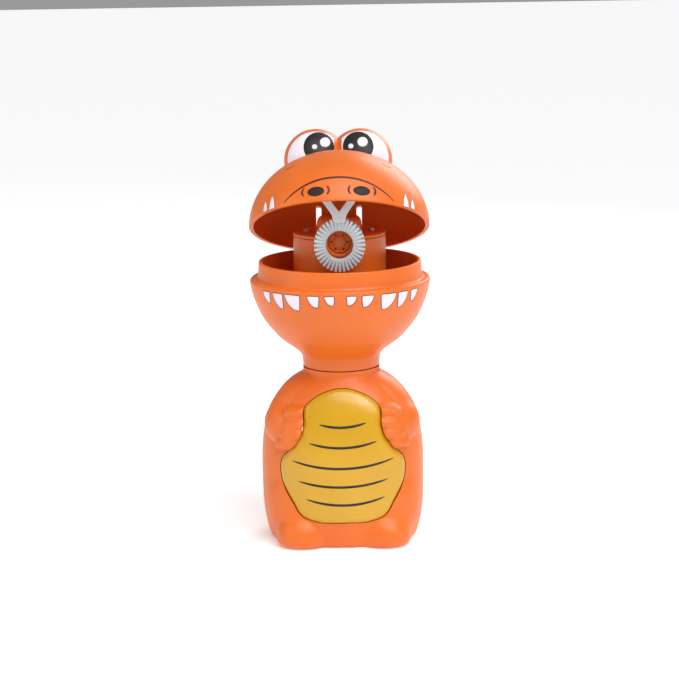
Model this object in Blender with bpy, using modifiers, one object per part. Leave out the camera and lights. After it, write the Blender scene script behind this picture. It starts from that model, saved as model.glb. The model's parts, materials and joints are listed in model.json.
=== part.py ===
"""Hand-pressed bubble toy: a croc-shaped body, a belly plate, a geared fan and a jaw that opens.

Sizes below are millimetres; MM turns them into Blender's metres. X is across, Y runs from the
front (negative) to the back, Z is up, and the toy stands on Z = 0 with the belly plate pressed in
and the jaw open.
"""
import math

import bmesh
import bpy
from mathutils import Matrix, Vector

MM = 0.001
GAP = 0.3                       # free space kept between pieces that touch

# ---- body -------------------------------------------------------------------------------------
NECK_TOP = 69.6
PARTING_Y = 2.0                 # plane where the front and back shells meet
FLOOR = 2.0
# height: half width, depth in front, depth behind
BODY_STATIONS = (
    (0.0, 26.4, 22.6, 21.0), (1.2, 27.8, 23.9, 22.4), (7.0, 29.5, 25.0, 24.0),
    (14.0, 30.5, 25.5, 25.2), (30.0, 31.3, 25.2, 25.4), (45.0, 30.6, 23.6, 23.8),
    (52.6, 29.2, 22.2, 22.2), (57.5, 26.4, 20.6, 20.4), (62.4, 22.6, 18.2, 18.0),
    (65.2, 19.2, 16.6, 16.6), (67.4, 15.6, 15.4, 15.4), (NECK_TOP, 15.3, 15.3, 15.3),
)
BODY_SQUARENESS = 2.35
BODY_ROWS = (1.2, 4.0, 7.0, 14.0, 22.0, 30.0, 38.0, 45.0, 49.0, 52.6, 55.2, 57.5, 60.0, 62.4, 64.0, 65.2,
             66.4, 67.4, 68.4)
FOOT = {"x": 18.5, "y": -19.0, "z": 2.4, "radii": (9.2, 10.2, 7.0)}
HAND = {"x": 22.2, "y": -16.6, "z": 48.0, "radii": (7.6, 6.2, 9.6)}
TAIL = {"y": 22.5, "z": 5.0, "radii": (8.5, 9.5, 6.5)}

# ---- belly plate ------------------------------------------------------------------------------
# height: half width of the plate, from its foot to its tip
PLATE_OUTLINE = (
    (11.0, 8.6), (12.6, 15.4), (18.5, 19.8), (25.0, 23.3), (31.0, 24.6), (36.0, 23.9),
    (39.5, 21.0), (42.5, 18.5), (46.0, 16.4), (50.5, 15.2), (56.0, 15.0), (58.8, 12.4), (61.6, 8.0),
    (63.5, 2.4),
)
PLATE_PROUD = 0.8
PLATE_SKIN = 2.2
PLATE_GAP = 0.4
SKIRT_INSET = 1.2
SKIRT_WALL = 1.2
SKIRT_BACK_Y = -15.2
SKIRT_SIDE_BACK_Y = -8.0
SKIRT_SIDE_X = 19.5

# ---- head -------------------------------------------------------------------------------------
HEAD_R = 36.0
LIP_Z = 105.5
JAW_Z = LIP_Z + GAP             # the dome's edge when the jaw is shut
DOME_HEIGHT = 30.0
DOME_WALL = 1.8
EYE = {"x": 9.0, "y": 4.0, "z": JAW_Z + 29.2, "r": 12.8, "cap_r": 10.7}
HINGE_Y = 43.5
HINGE_Z = 107.0
JAW_OPEN = math.radians(25.5)
KNUCKLE_R = 3.4
PIN_R = 1.25

# ---- push rod, lever, gears --------------------------------------------------------------------
ROD_Y = 10.5
ROD_TOP_Y = 27.7
ROD_R = 1.2
TAB_RISE = 2.0                  # the jaw tab's underside lies this far above the hinge axis
TAB_REACH = 16.6
TAB_THICK = 2.2
ROD_LIFT = 2.0 * (HINGE_Y - ROD_TOP_Y) * math.tan(JAW_OPEN / 2.0)
LEVER_Y = -11.5
LEVER_Z = 59.0
LEVER_ARM = ROD_Y - LEVER_Y
PRESS_ANGLE = 2.0 * math.asin(ROD_LIFT / (2.0 * LEVER_ARM))
PUSH_ARM = 25.0
PAD_R = 2.0
MODULE = 0.6
SECTOR_TEETH = 84
PINION_TEETH = 12
GEAR_1_TEETH = 36
GEAR_2_TEETH = 30
FAN_Y = 5.0
FAN_Z = 20.0
INNER_PLATE_X = (8.0, 9.2)
SECTOR_X = (9.7, 12.2)
MIDDLE_X = (12.8, 14.9)
OUTER_X = (15.4, 17.6)
OUTER_PLATE_X = (18.1, 19.3)
AXLE_R = 1.0
DUCT_Y = 2.5
DUCT_R = 5.4

# ---- tower and nozzle --------------------------------------------------------------------------
TOWER_Y = 7.5
TOWER_R = 18.5
TOWER_TOP = 121.0
NOZZLE_Z = 121.0
NOZZLE_TIP_Y = -12.5
RING_Y = -16.2
RING_Z = 120.8
RING_R = 10.0
RING_HOLE_R = 5.3
STEM_Y = (-18.6, -16.2)
WAND_SCREW_Z = 147.0


def pitch_radius(teeth):
    return MODULE * teeth / 2.0


def meeting_point(first, first_reach, second, second_reach):
    """The point at the two given distances from two centres, on the side nearer the front."""
    step_y = second[0] - first[0]
    step_z = second[1] - first[1]
    apart = math.hypot(step_y, step_z)
    along = (first_reach ** 2 - second_reach ** 2 + apart ** 2) / (2.0 * apart)
    side = math.sqrt(first_reach ** 2 - along ** 2)
    return (
        first[0] + (along * step_y + side * step_z) / apart,
        first[1] + (along * step_z - side * step_y) / apart,
    )


LEVER_AXIS = (LEVER_Y, LEVER_Z)
REACH = (pitch_radius(SECTOR_TEETH) + pitch_radius(PINION_TEETH)) * math.sqrt(0.5)
AXIS_1 = (LEVER_Y + REACH, LEVER_Z - REACH)
FAN_AXIS = (FAN_Y, FAN_Z)
AXIS_2 = meeting_point(
    AXIS_1, pitch_radius(GEAR_1_TEETH + PINION_TEETH),
    FAN_AXIS, pitch_radius(GEAR_2_TEETH + PINION_TEETH),
)
PILLARS = ((14.5, 24.0), (-8.8, 14.5), (-14.5, 33.5))
BODY_SCREWS = ((-25.5, 16.0, 9.0), (25.5, 16.0, 9.0), (-17.0, 60.0, 8.0), (17.0, 60.0, 8.0))

for old in list(bpy.data.objects):
    bpy.data.objects.remove(old, do_unlink=True)
toy = bpy.data.collections.new("bubble_machine")
cutters = bpy.data.collections.new("cutters")
bpy.context.scene.collection.children.link(toy)
bpy.context.scene.collection.children.link(cutters)

FINISHES = {
    "orange_plastic": ((0.95, 0.20, 0.047, 1.0), 0.38, 0.0),
    "yellow_plastic": ((0.73, 0.376, 0.020, 1.0), 0.22, 0.0),
    "white_plastic": ((0.82, 0.82, 0.84, 1.0), 0.35, 0.0),
    "gear_plastic": ((0.78, 0.76, 0.70, 1.0), 0.42, 0.0),
    "inner_plastic": ((0.10, 0.10, 0.11, 1.0), 0.50, 0.0),
    "steel": ((0.56, 0.56, 0.58, 1.0), 0.30, 1.0),
    "rubber": ((0.03, 0.03, 0.03, 1.0), 0.80, 0.0),
}


def finish_for(name, finish):
    """A material of this sub-part's own, in one of the shared finishes."""
    colour, roughness, metallic = FINISHES[finish]
    made = bpy.data.materials.new(finish + "." + name)
    made.use_nodes = True
    shader = made.node_tree.nodes["Principled BSDF"]
    shader.inputs["Base Color"].default_value = colour
    shader.inputs["Roughness"].default_value = roughness
    shader.inputs["Metallic"].default_value = metallic
    made.diffuse_color = colour
    return made


# ---- building blocks ----------------------------------------------------------------------------

def place(name, bm):
    """A new cutter object from a bmesh in millimetres."""
    bmesh.ops.scale(bm, vec=(MM, MM, MM), verts=bm.verts)
    mesh = bpy.data.meshes.new(name)
    bm.to_mesh(mesh)
    bm.free()
    thing = bpy.data.objects.new(name, mesh)
    thing.hide_render = True
    thing.display_type = "WIRE"
    cutters.objects.link(thing)
    return thing


def part(thing, name, finish):
    """Turn a cutter object into a named sub-part."""
    cutters.objects.unlink(thing)
    toy.objects.link(thing)
    thing.name = name
    thing.data.name = name
    thing.hide_render = False
    thing.display_type = "TEXTURED"
    thing.data.materials.append(finish_for(name, finish))
    return thing


def combine(thing, operation, others):
    for other in others:
        step = thing.modifiers.new(operation.lower() + "_" + other.name, "BOOLEAN")
        step.operation = operation
        step.solver = "EXACT"
        step.object = other
    return thing


def add(thing, *others):
    return combine(thing, "UNION", others)


def cut(thing, *others):
    return combine(thing, "DIFFERENCE", others)


def keep(thing, *others):
    return combine(thing, "INTERSECT", others)


def block(name, x, y, z):
    """A box between the given pairs of limits."""
    bm = bmesh.new()
    bmesh.ops.create_cube(bm, size=1.0)
    bmesh.ops.scale(bm, vec=(x[1] - x[0], y[1] - y[0], z[1] - z[0]), verts=bm.verts)
    middle = (sum(x) / 2.0, sum(y) / 2.0, sum(z) / 2.0)
    bmesh.ops.translate(bm, vec=middle, verts=bm.verts)
    return place(name, bm)


def rod(name, start, end, radius, end_radius=None, segments=20):
    """A cylinder or cone from one point to another."""
    start = Vector(start)
    run = Vector(end) - start
    bm = bmesh.new()
    bmesh.ops.create_cone(
        bm, cap_ends=True, segments=segments, radius1=radius,
        radius2=radius if end_radius is None else end_radius, depth=run.length,
    )
    turn = Vector((0.0, 0.0, 1.0)).rotation_difference(run).to_matrix().to_4x4()
    bmesh.ops.transform(bm, matrix=Matrix.Translation(start + run / 2.0) @ turn, verts=bm.verts)
    return place(name, bm)


def across(name, axis, x, radius, segments=20):
    """A cylinder along X about an axis given by its Y and Z."""
    return rod(name, (x[0], axis[0], axis[1]), (x[1], axis[0], axis[1]), radius, segments=segments)


def ball(name, centre, radii, segments=24):
    bm = bmesh.new()
    bmesh.ops.create_uvsphere(bm, u_segments=segments, v_segments=segments // 2, radius=1.0)
    bmesh.ops.scale(bm, vec=radii, verts=bm.verts)
    bmesh.ops.translate(bm, vec=centre, verts=bm.verts)
    return place(name, bm)


def turned(name, profile, centre_y=0.0, steps=40):
    """A solid turned about a vertical axis, from a profile of radius and height pairs."""
    bm = bmesh.new()
    points = [bm.verts.new((radius, 0.0, height)) for radius, height in profile]
    for first, second in zip(points, points[1:]):
        bm.edges.new((first, second))
    if profile[0][0] > 0.0 and profile[-1][0] > 0.0:
        bm.edges.new((points[-1], points[0]))
    thing = place(name, bm)
    thing.location.y = centre_y * MM
    screw = thing.modifiers.new("turn", "SCREW")
    screw.axis = "Z"
    screw.steps = steps
    screw.render_steps = steps
    screw.use_merge_vertices = True
    screw.merge_threshold = 0.00001
    return thing


def slab(name, outline, low, high, plane="XZ"):
    """A flat outline given thickness along Y (plane XZ) or along X (plane YZ)."""
    bm = bmesh.new()
    if plane == "XZ":
        points = [bm.verts.new((u, low, v)) for u, v in outline]
        step = Vector((0.0, high - low, 0.0))
    else:
        points = [bm.verts.new((low, u, v)) for u, v in outline]
        step = Vector((high - low, 0.0, 0.0))
    face = bm.faces.new(points)
    grown = bmesh.ops.extrude_face_region(bm, geom=[face])
    moved = [item for item in grown["geom"] if isinstance(item, bmesh.types.BMVert)]
    bmesh.ops.translate(bm, vec=step, verts=moved)
    bmesh.ops.recalc_face_normals(bm, faces=bm.faces)
    return place(name, bm)


def hull_plate(name, centres, radius, x):
    """A plate with round corners around several centres."""
    bm = bmesh.new()
    for centre_y, centre_z in centres:
        for side in x:
            spot = Matrix.Translation((side, centre_y, centre_z)) @ Matrix.Rotation(math.pi / 2.0, 4, "Y")
            bmesh.ops.create_circle(bm, segments=24, radius=radius, matrix=spot)
    hull = bmesh.ops.convex_hull(bm, input=bm.verts)
    spare = set(hull["geom_interior"]) | set(hull["geom_unused"])
    bmesh.ops.delete(bm, geom=[v for v in spare if isinstance(v, bmesh.types.BMVert)], context="VERTS")
    bmesh.ops.dissolve_limit(bm, angle_limit=0.01, verts=bm.verts, edges=bm.edges)
    return place(name, bm)


def wire(name, points, radius):
    """A round wire along a list of points, as a closed mesh."""
    curve = bpy.data.curves.new(name, "CURVE")
    curve.dimensions = "3D"
    curve.bevel_depth = radius * MM
    curve.bevel_resolution = 2
    curve.use_fill_caps = True
    line = curve.splines.new("POLY")
    line.points.add(len(points) - 1)
    for knot, point in zip(line.points, points):
        knot.co = (point[0] * MM, point[1] * MM, point[2] * MM, 1.0)
    thing = bpy.data.objects.new(name, curve)
    cutters.objects.link(thing)
    return thing


def pivot(name, y, z):
    """An empty on a joint's axis; pieces that turn together hang from it."""
    empty = bpy.data.objects.new(name, None)
    empty.location = (0.0, y * MM, z * MM)
    toy.objects.link(empty)
    return empty


def hang(empty, *things):
    """Parent pieces drawn at the toy's resting pose."""
    inverse = Matrix.Translation(-empty.location)
    for thing in things:
        thing.parent = empty
        thing.matrix_parent_inverse = inverse


# ---- body form -------------------------------------------------------------------------------------

def smooth_value(table, at, column=1):
    """A smooth curve through a short table of heights and values."""
    rows = list(table)
    if at <= rows[0][0]:
        return rows[0][column]
    if at >= rows[-1][0]:
        return rows[-1][column]
    index = max(i for i, row in enumerate(rows[:-1]) if row[0] <= at)
    low, high = rows[index], rows[index + 1]
    span = high[0] - low[0]

    def slope(i):
        before, after = rows[max(i - 1, 0)], rows[min(i + 1, len(rows) - 1)]
        return (after[column] - before[column]) / (after[0] - before[0])

    t = (at - low[0]) / span
    start, end = slope(index) * span, slope(index + 1) * span
    return (
        (2 * t ** 3 - 3 * t ** 2 + 1) * low[column] + (t ** 3 - 2 * t ** 2 + t) * start
        + (3 * t ** 2 - 2 * t ** 3) * high[column] + (t ** 3 - t ** 2) * end
    )


def body_point(angle, z, inset):
    """A point on the body's surface, moved inwards by the inset."""
    round_off = min(max((z - 58.0) / 10.0, 0.0), 1.0)
    power = 2.0 / (BODY_SQUARENESS + (2.0 - BODY_SQUARENESS) * round_off)
    across_x, along_y = math.cos(angle), math.sin(angle)
    half_width = smooth_value(BODY_STATIONS, z, 1) - inset
    depth = smooth_value(BODY_STATIONS, z, 2 if along_y < 0.0 else 3) - inset
    return (
        half_width * math.copysign(abs(across_x) ** power, across_x),
        depth * math.copysign(abs(along_y) ** power, along_y),
    )


def body_form(name, inset, bottom, top, steps=32):
    """A closed form of the body's outline, smaller all round by the inset."""
    heights = [bottom]
    heights += [z for z in BODY_ROWS if bottom < z < top]
    heights += [top]
    bm = bmesh.new()
    points = [bm.verts.new((0.0, 0.0, bottom))]
    points += [bm.verts.new((1.0, 0.0, z)) for z in heights]
    points += [bm.verts.new((0.0, 0.0, top))]
    lines = [bm.edges.new(pair) for pair in zip(points, points[1:])]
    bmesh.ops.spin(bm, geom=points + lines, axis=(0.0, 0.0, 1.0), cent=(0.0, 0.0, 0.0),
                   angle=2.0 * math.pi, steps=steps, use_merge=True)
    bmesh.ops.remove_doubles(bm, verts=bm.verts, dist=0.0001)
    for vertex in bm.verts:
        if math.hypot(vertex.co.x, vertex.co.y) > 0.5:
            neck = min(max((vertex.co.z - 62.0) / 4.0, 0.0), 1.0)
            wall = inset - (0.6 * neck if inset > 1.9 else 0.0)
            angle = math.atan2(vertex.co.y, vertex.co.x)
            vertex.co.x, vertex.co.y = body_point(angle, vertex.co.z, wall)
    bmesh.ops.recalc_face_normals(bm, faces=bm.faces)
    return place(name, bm)


def plate_outline(grow, rows=20):
    """The plate's outline, wider all round by the given amount."""
    bottom, top = PLATE_OUTLINE[0][0], PLATE_OUTLINE[-1][0]
    right = []
    for row in range(rows + 1):
        z = bottom + (top - bottom) * row / rows
        half = max(smooth_value(PLATE_OUTLINE, z) + grow, 0.8)
        height = z + grow * (1.0 if row == rows else (-1.0 if row == 0 else 0.0))
        right.append((half, height))
    return right + [(-x, z) for x, z in reversed(right)]


def body_shells():
    """The two halves of the body, with their bosses, ears and fan cradle."""
    outer = body_form("body_outer", 0.0, 0.0, NECK_TOP)
    cavity = body_form("body_cavity", 2.0, FLOOR, NECK_TOP + 2.0)
    cradle = block("fan_cradle", (-5.5, 5.5), (-9.0, 19.0), (1.0, 9.0))
    cut(cradle, across("cradle_hollow", FAN_AXIS, (-7.0, 7.0), 15.8, 32))
    saddle = block("fan_saddle", (-5.0, 5.0), (20.9, 26.0), (15.0, 25.0))
    ears = [block("ear", (side * 12.5 - 1.0, side * 12.5 + 1.0), (-13.2, -8.6), (56.4, 66.6))
            for side in (-1, 1)]
    cut(cavity, cradle, saddle, *ears)
    for x, z, seat in BODY_SCREWS:
        cut(cavity, rod("front_boss", (x, -25.0, z), (x, PARTING_Y, z), 3.0, segments=12))
        cut(cavity, rod("back_boss", (x, PARTING_Y, z), (x, 26.0, z), 3.8, segments=14))

    opening = slab("plate_opening", plate_outline(PLATE_GAP), -40.0, SKIRT_BACK_Y)
    side_opening = slab("side_opening", plate_outline(PLATE_GAP), SKIRT_BACK_Y - 1.0, -6.0)
    cut(side_opening, block("opening_core", (-SKIRT_SIDE_X + 1.0, SKIRT_SIDE_X - 1.0), (-20, 0), (0, 80)))
    front = outer
    for side in (-1, 1):
        add(front, ball("foot", (side * FOOT["x"], FOOT["y"], FOOT["z"]), FOOT["radii"], 18))
        add(front, ball("hand", (side * HAND["x"], HAND["y"], HAND["z"]), HAND["radii"], 16))
    cut(front, block("below_front", (-60, 60), (-60, 60), (-20, 0)), cavity)
    cut(front, block("behind_front", (-60, 60), (PARTING_Y, 80), (-10, 90)), opening, side_opening)

    back = body_form("body_outer_back", 0.0, 0.0, NECK_TOP)
    add(back, ball("tail", (0.0, TAIL["y"], TAIL["z"]), TAIL["radii"], 18))
    cut(back, block("below_back", (-60, 60), (-60, 60), (-20, 0)), cavity)
    cut(back, block("before_back", (-60, 60), (-80, PARTING_Y + GAP), (-10, 90)))
    for row in range(4):
        z = 22.0 + 5.0 * row
        cut(back, block("intake_slot", (-20.0, -9.0), (15.0, 30.0), (z, z + 2.0)))
    for x, z, seat in BODY_SCREWS:
        hole = rod("screw_hole", (x, -6.0, z), (x, 40.0, z), 1.45, segments=12)
        cut(front, hole)
        cut(back, hole, rod("screw_recess", (x, seat, z), (x, 40.0, z), 2.8, segments=14))
    for side in (-1, 1):
        ends = sorted((side * 10.0, side * 13.6))
        cut(front, across("lever_pin_hole", LEVER_AXIS, ends, AXLE_R + 0.12))
    part(front, "body_front_shell", "orange_plastic")
    part(back, "body_back_shell", "orange_plastic")


def screw(name, head, direction, shank_length, head_radius=2.3, shank_radius=1.2, head_height=1.4):
    """A pan-head screw: the head's seat is at the given point and the shank runs along the direction."""
    seat = Vector(head)
    way = Vector(direction)
    top = rod(name, seat - way * head_height, seat, head_radius * 0.8, head_radius, segments=16)
    add(top, rod(name + "_shank", seat - way * 0.3, seat + way * shank_length, shank_radius, segments=10))
    slot = rod(name + "_socket", seat - way * (head_height + 1.0), seat - way * (head_height - 0.6), 0.8,
               segments=6)
    cut(top, slot)
    return part(top, name, "steel")


def body_screws():
    for number, (x, z, seat) in enumerate(BODY_SCREWS, 1):
        screw("body_screw_%d" % number, (x, seat + 1.6, z), (0.0, -1.0, 0.0), 13.0)


# ---- belly plate, lever, rod -------------------------------------------------------------------

def belly_plate():
    plate = slab("belly_plate", plate_outline(0.0), -40.0, -6.0)
    keep(plate, body_form("plate_outer", -PLATE_PROUD, -2.0, NECK_TOP))
    cut(plate, body_form("plate_inner", PLATE_SKIN - PLATE_PROUD, -2.0, NECK_TOP))
    skirt = slab("plate_skirt", plate_outline(-SKIRT_INSET), -40.0, SKIRT_SIDE_BACK_Y)
    keep(skirt, body_form("skirt_outer", 0.7, -2.0, NECK_TOP))
    cut(skirt, slab("skirt_inner", plate_outline(-SKIRT_INSET - SKIRT_WALL), -50.0, 0.0))
    core = (-SKIRT_SIDE_X, SKIRT_SIDE_X)
    cut(skirt, block("skirt_core", core, (SKIRT_BACK_Y, 10.0), (0.0, 80.0)))
    cut(skirt, block("skirt_top", (-60, 60), (-17.4, 10.0), (48.0, 80.0)))
    half = PRESS_ANGLE / 2.0
    pusher_y = LEVER_Y + PUSH_ARM * math.sin(half) - PAD_R - GAP
    pusher_z = LEVER_Z - PUSH_ARM * math.cos(half)
    pusher = block("plate_pusher", (-4.0, 4.0), (-24.0, pusher_y), (pusher_z - 3.0, pusher_z + 3.0))
    add(plate, skirt, pusher)
    part(plate, "belly_plate", "yellow_plastic")
    slide = pivot("belly_press", -24.0, 35.0)
    hang(slide, plate)


def tooth_outline(teeth, first, last, phase, inner):
    """Involute teeth about (0, 0) between two tooth numbers, closed at the inner radius."""
    pitch = pitch_radius(teeth)
    base = pitch * math.cos(math.radians(20.0))
    tip = pitch + 0.75 * MODULE
    root = pitch - 1.15 * MODULE
    backlash = 0.20
    half_tooth = (math.pi * MODULE / 2.0 - backlash) / 2.0 / pitch

    def involute(radius):
        if radius <= base:
            return 0.0
        roll = math.sqrt((radius / base) ** 2 - 1.0)
        return roll - math.atan(roll)

    at_pitch = involute(pitch)
    outline = []
    for number in range(first, last + 1):
        middle = phase + 2.0 * math.pi * number / teeth
        flank = []
        for step in range(3):
            radius = root + (tip - root) * step / 2.0
            flank.append((radius, half_tooth + at_pitch - involute(radius)))
        for radius, half in flank:
            outline.append((radius, middle - half))
        for radius, half in reversed(flank):
            outline.append((radius, middle + half))
    if inner > 0.0:
        edge = math.pi / teeth
        low = phase + 2.0 * math.pi * first / teeth - edge
        high = phase + 2.0 * math.pi * last / teeth + edge
        outline.insert(0, (root, low))
        outline.append((root, high))
        for step in range(9):
            outline.append((inner, high + (low - high) * step / 8.0))
    return [(radius * math.cos(angle), radius * math.sin(angle)) for radius, angle in outline]


def gear_slab(name, centre, teeth, x, phase):
    ring = tooth_outline(teeth, 0, teeth - 1, phase, 0.0)
    return slab(name, [(centre[0] + u, centre[1] + v) for u, v in ring], x[0], x[1], "YZ")


def towards(first, second):
    return math.atan2(second[1] - first[1], second[0] - first[0])


def gap_towards(first, second, teeth):
    """The tooth phase that leaves a gap between teeth on the line to the other centre."""
    return towards(first, second) + math.pi / teeth


def lever():
    half = PRESS_ANGLE / 2.0
    back = Vector((0.0, math.cos(half), math.sin(half)))
    down = Vector((0.0, math.sin(half), -math.cos(half)))
    axis = Vector((0.0, LEVER_Y, LEVER_Z))
    frame = across("lever_frame", LEVER_AXIS, (-8.6, 8.6), 2.8)
    pad = axis + down * PUSH_ARM
    bar = axis + back * LEVER_ARM
    turn = Matrix.Rotation(half, 4, "X")
    for side in (-1, 1):
        ends = sorted((side * 6.2, side * 8.6))
        arm = block("fork_arm", ends, (0.0, LEVER_ARM), (-1.9, 1.9))
        arm.matrix_world = Matrix.Translation(axis * MM) @ turn
        add(frame, arm)
    leg = block("push_leg", (-3.0, 3.0), (-1.6, 1.6), (-PUSH_ARM, 0.0))
    leg.matrix_world = Matrix.Translation(axis * MM) @ turn
    add(frame, leg)
    add(frame, across("crossbar", (bar.y, bar.z), (-8.5, 8.5), 1.6))
    add(frame, across("push_pad", (pad.y, pad.z), (-7.0, 7.0), PAD_R))
    mesh_way = towards(LEVER_AXIS, AXIS_1)
    outline = tooth_outline(SECTOR_TEETH, -2, 6, mesh_way, 7.0)
    rim = slab("sector", [(LEVER_Y + u, LEVER_Z + v) for u, v in outline], SECTOR_X[0], SECTOR_X[1], "YZ")
    web = [(reach * math.cos(half), reach * math.sin(half)) for reach in (7.2, 13.8)]
    web += [(22.0 * math.cos(angle), 22.0 * math.sin(angle)) for angle in (mesh_way + 0.48, mesh_way + 0.2)]
    web += [(8.0 * math.cos(mesh_way), 8.0 * math.sin(mesh_way))]
    web_outline = [(LEVER_Y + u, LEVER_Z + v) for u, v in web]
    sector_web = slab("sector_web", web_outline, SECTOR_X[0], SECTOR_X[1], "YZ")
    bridge = block("sector_bridge", (6.8, SECTOR_X[1]), (7.0, 14.0), (-1.85, 1.85))
    bridge.matrix_world = Matrix.Translation(axis * MM) @ turn
    add(frame, bridge, sector_web, rim)
    cut(frame, across("lever_bore", LEVER_AXIS, (-9.0, 9.0), AXLE_R + 0.12))
    part(frame, "lever_frame", "inner_plastic")
    empty = pivot("lever_pivot", LEVER_Y, LEVER_Z)
    hang(empty, frame)
    part(across("pin", LEVER_AXIS, (-13.4, 13.4), AXLE_R), "lever_pivot_pin", "steel")
    turns = 3
    points = []
    for step in range(turns * 8 + 1):
        angle = 2.0 * math.pi * step / 8.0
        x = -11.1 + 2.1 * step / (turns * 8.0)
        points.append((x, LEVER_Y + 2.3 * math.cos(angle), LEVER_Z + 2.3 * math.sin(angle)))
    points.append((-9.0, LEVER_Y + 2.3, LEVER_Z + 6.0))
    coil = wire("lever_spring_wire", points, 0.28)
    part(coil, "lever_spring", "steel")


def lift_rod():
    half = PRESS_ANGLE / 2.0
    foot = LEVER_Z + LEVER_ARM * math.sin(half) + 1.6 + GAP
    tip = HINGE_Z + TAB_RISE / math.cos(JAW_OPEN / 2.0) + ROD_LIFT / 2.0 - GAP
    crank = 102.4
    shaft = rod("lift_rod", (0.0, ROD_Y, foot + 0.5), (0.0, ROD_Y, crank + 0.8), ROD_R)
    add(shaft, rod("rod_foot", (0.0, ROD_Y, foot), (0.0, ROD_Y, foot + 1.5), 2.2))
    add(shaft, rod("rod_collar", (0.0, ROD_Y, foot + 3.8), (0.0, ROD_Y, foot + 4.8), 1.95))
    add(shaft, rod("rod_crank", (0.0, ROD_Y - 0.9, crank), (0.0, ROD_TOP_Y + 0.9, crank), ROD_R))
    add(shaft, rod("rod_tip", (0.0, ROD_TOP_Y, crank - 0.8), (0.0, ROD_TOP_Y, tip), ROD_R, 0.9))
    part(shaft, "lift_rod", "steel")
    slide = pivot("rod_slide", ROD_Y, foot)
    hang(slide, shaft)
    low, high, turns = foot + 5.4, 78.3, 4
    points = []
    for step in range(turns * 8 + 1):
        angle = 2.0 * math.pi * step / 8.0
        z = low + (high - low) * step / (turns * 8.0)
        points.append((1.6 * math.cos(angle), ROD_Y + 1.6 * math.sin(angle), z))
    part(wire("rod_spring_wire", points, 0.22), "rod_spring", "steel")


# ---- gear train and fan ----------------------------------------------------------------------------

def gear_train():
    bores = []
    for number, centre in enumerate((AXIS_1, AXIS_2), 1):
        bores.append(across("axle_bore", centre, (9.4, 18.0), AXLE_R + 0.12))
        axle = across("axle", centre, (INNER_PLATE_X[0] + 0.1, OUTER_PLATE_X[1] - 0.1), AXLE_R)
        part(axle, "gear_axle_%d" % number, "steel")
    first = gear_slab("gear_1", AXIS_1, GEAR_1_TEETH, MIDDLE_X, towards(AXIS_1, AXIS_2))
    pinion_x = (SECTOR_X[0], MIDDLE_X[0] + 0.5)
    add(first, gear_slab("pinion_1", AXIS_1, PINION_TEETH, pinion_x,
                         gap_towards(AXIS_1, LEVER_AXIS, PINION_TEETH)))
    cut(first, bores[0])
    part(first, "drive_gear_1", "gear_plastic")
    second = gear_slab("gear_2", AXIS_2, GEAR_2_TEETH, OUTER_X, towards(AXIS_2, FAN_AXIS))
    pinion_x = (MIDDLE_X[0], OUTER_X[0] + 0.5)
    add(second, gear_slab("pinion_2", AXIS_2, PINION_TEETH, pinion_x,
                          gap_towards(AXIS_2, AXIS_1, PINION_TEETH)))
    cut(second, bores[1])
    part(second, "drive_gear_2", "gear_plastic")
    third = gear_slab("pinion_3", FAN_AXIS, PINION_TEETH, OUTER_X,
                      gap_towards(FAN_AXIS, AXIS_2, PINION_TEETH))
    cut(third, across("fan_bore", FAN_AXIS, (-20.0, 30.0), AXLE_R + 0.12))
    part(third, "fan_pinion", "gear_plastic")
    hang(pivot("gear_1_axis", *AXIS_1), first)
    hang(pivot("gear_2_axis", *AXIS_2), second)

    plates = []
    for name, x in (("gearbox_inner_plate", INNER_PLATE_X), ("gearbox_outer_plate", OUTER_PLATE_X)):
        plate = hull_plate(name, PILLARS + (AXIS_1, FAN_AXIS), 3.8, x)
        for centre in (AXIS_1, AXIS_2, FAN_AXIS):
            cut(plate, across("plate_bore", centre, (0.0, 30.0), AXLE_R + 0.15))
        plates.append(plate)
    for number, centre in enumerate(PILLARS, 1):
        add(plates[0], across("pillar", centre, (INNER_PLATE_X[0] + 0.5, OUTER_PLATE_X[0] - GAP), 2.4))
        hole = across("pillar_hole", centre, (12.0, 30.0), 1.05)
        cut(plates[0], hole)
        cut(plates[1], hole)
        screw("gearbox_screw_%d" % number, (OUTER_PLATE_X[1] + 0.1, *centre), (-1.0, 0.0, 0.0), 6.0,
              2.0, 0.9, 1.1)
    part(plates[0], "gearbox_inner_plate", "inner_plastic")
    part(plates[1], "gearbox_outer_plate", "inner_plastic")


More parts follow.
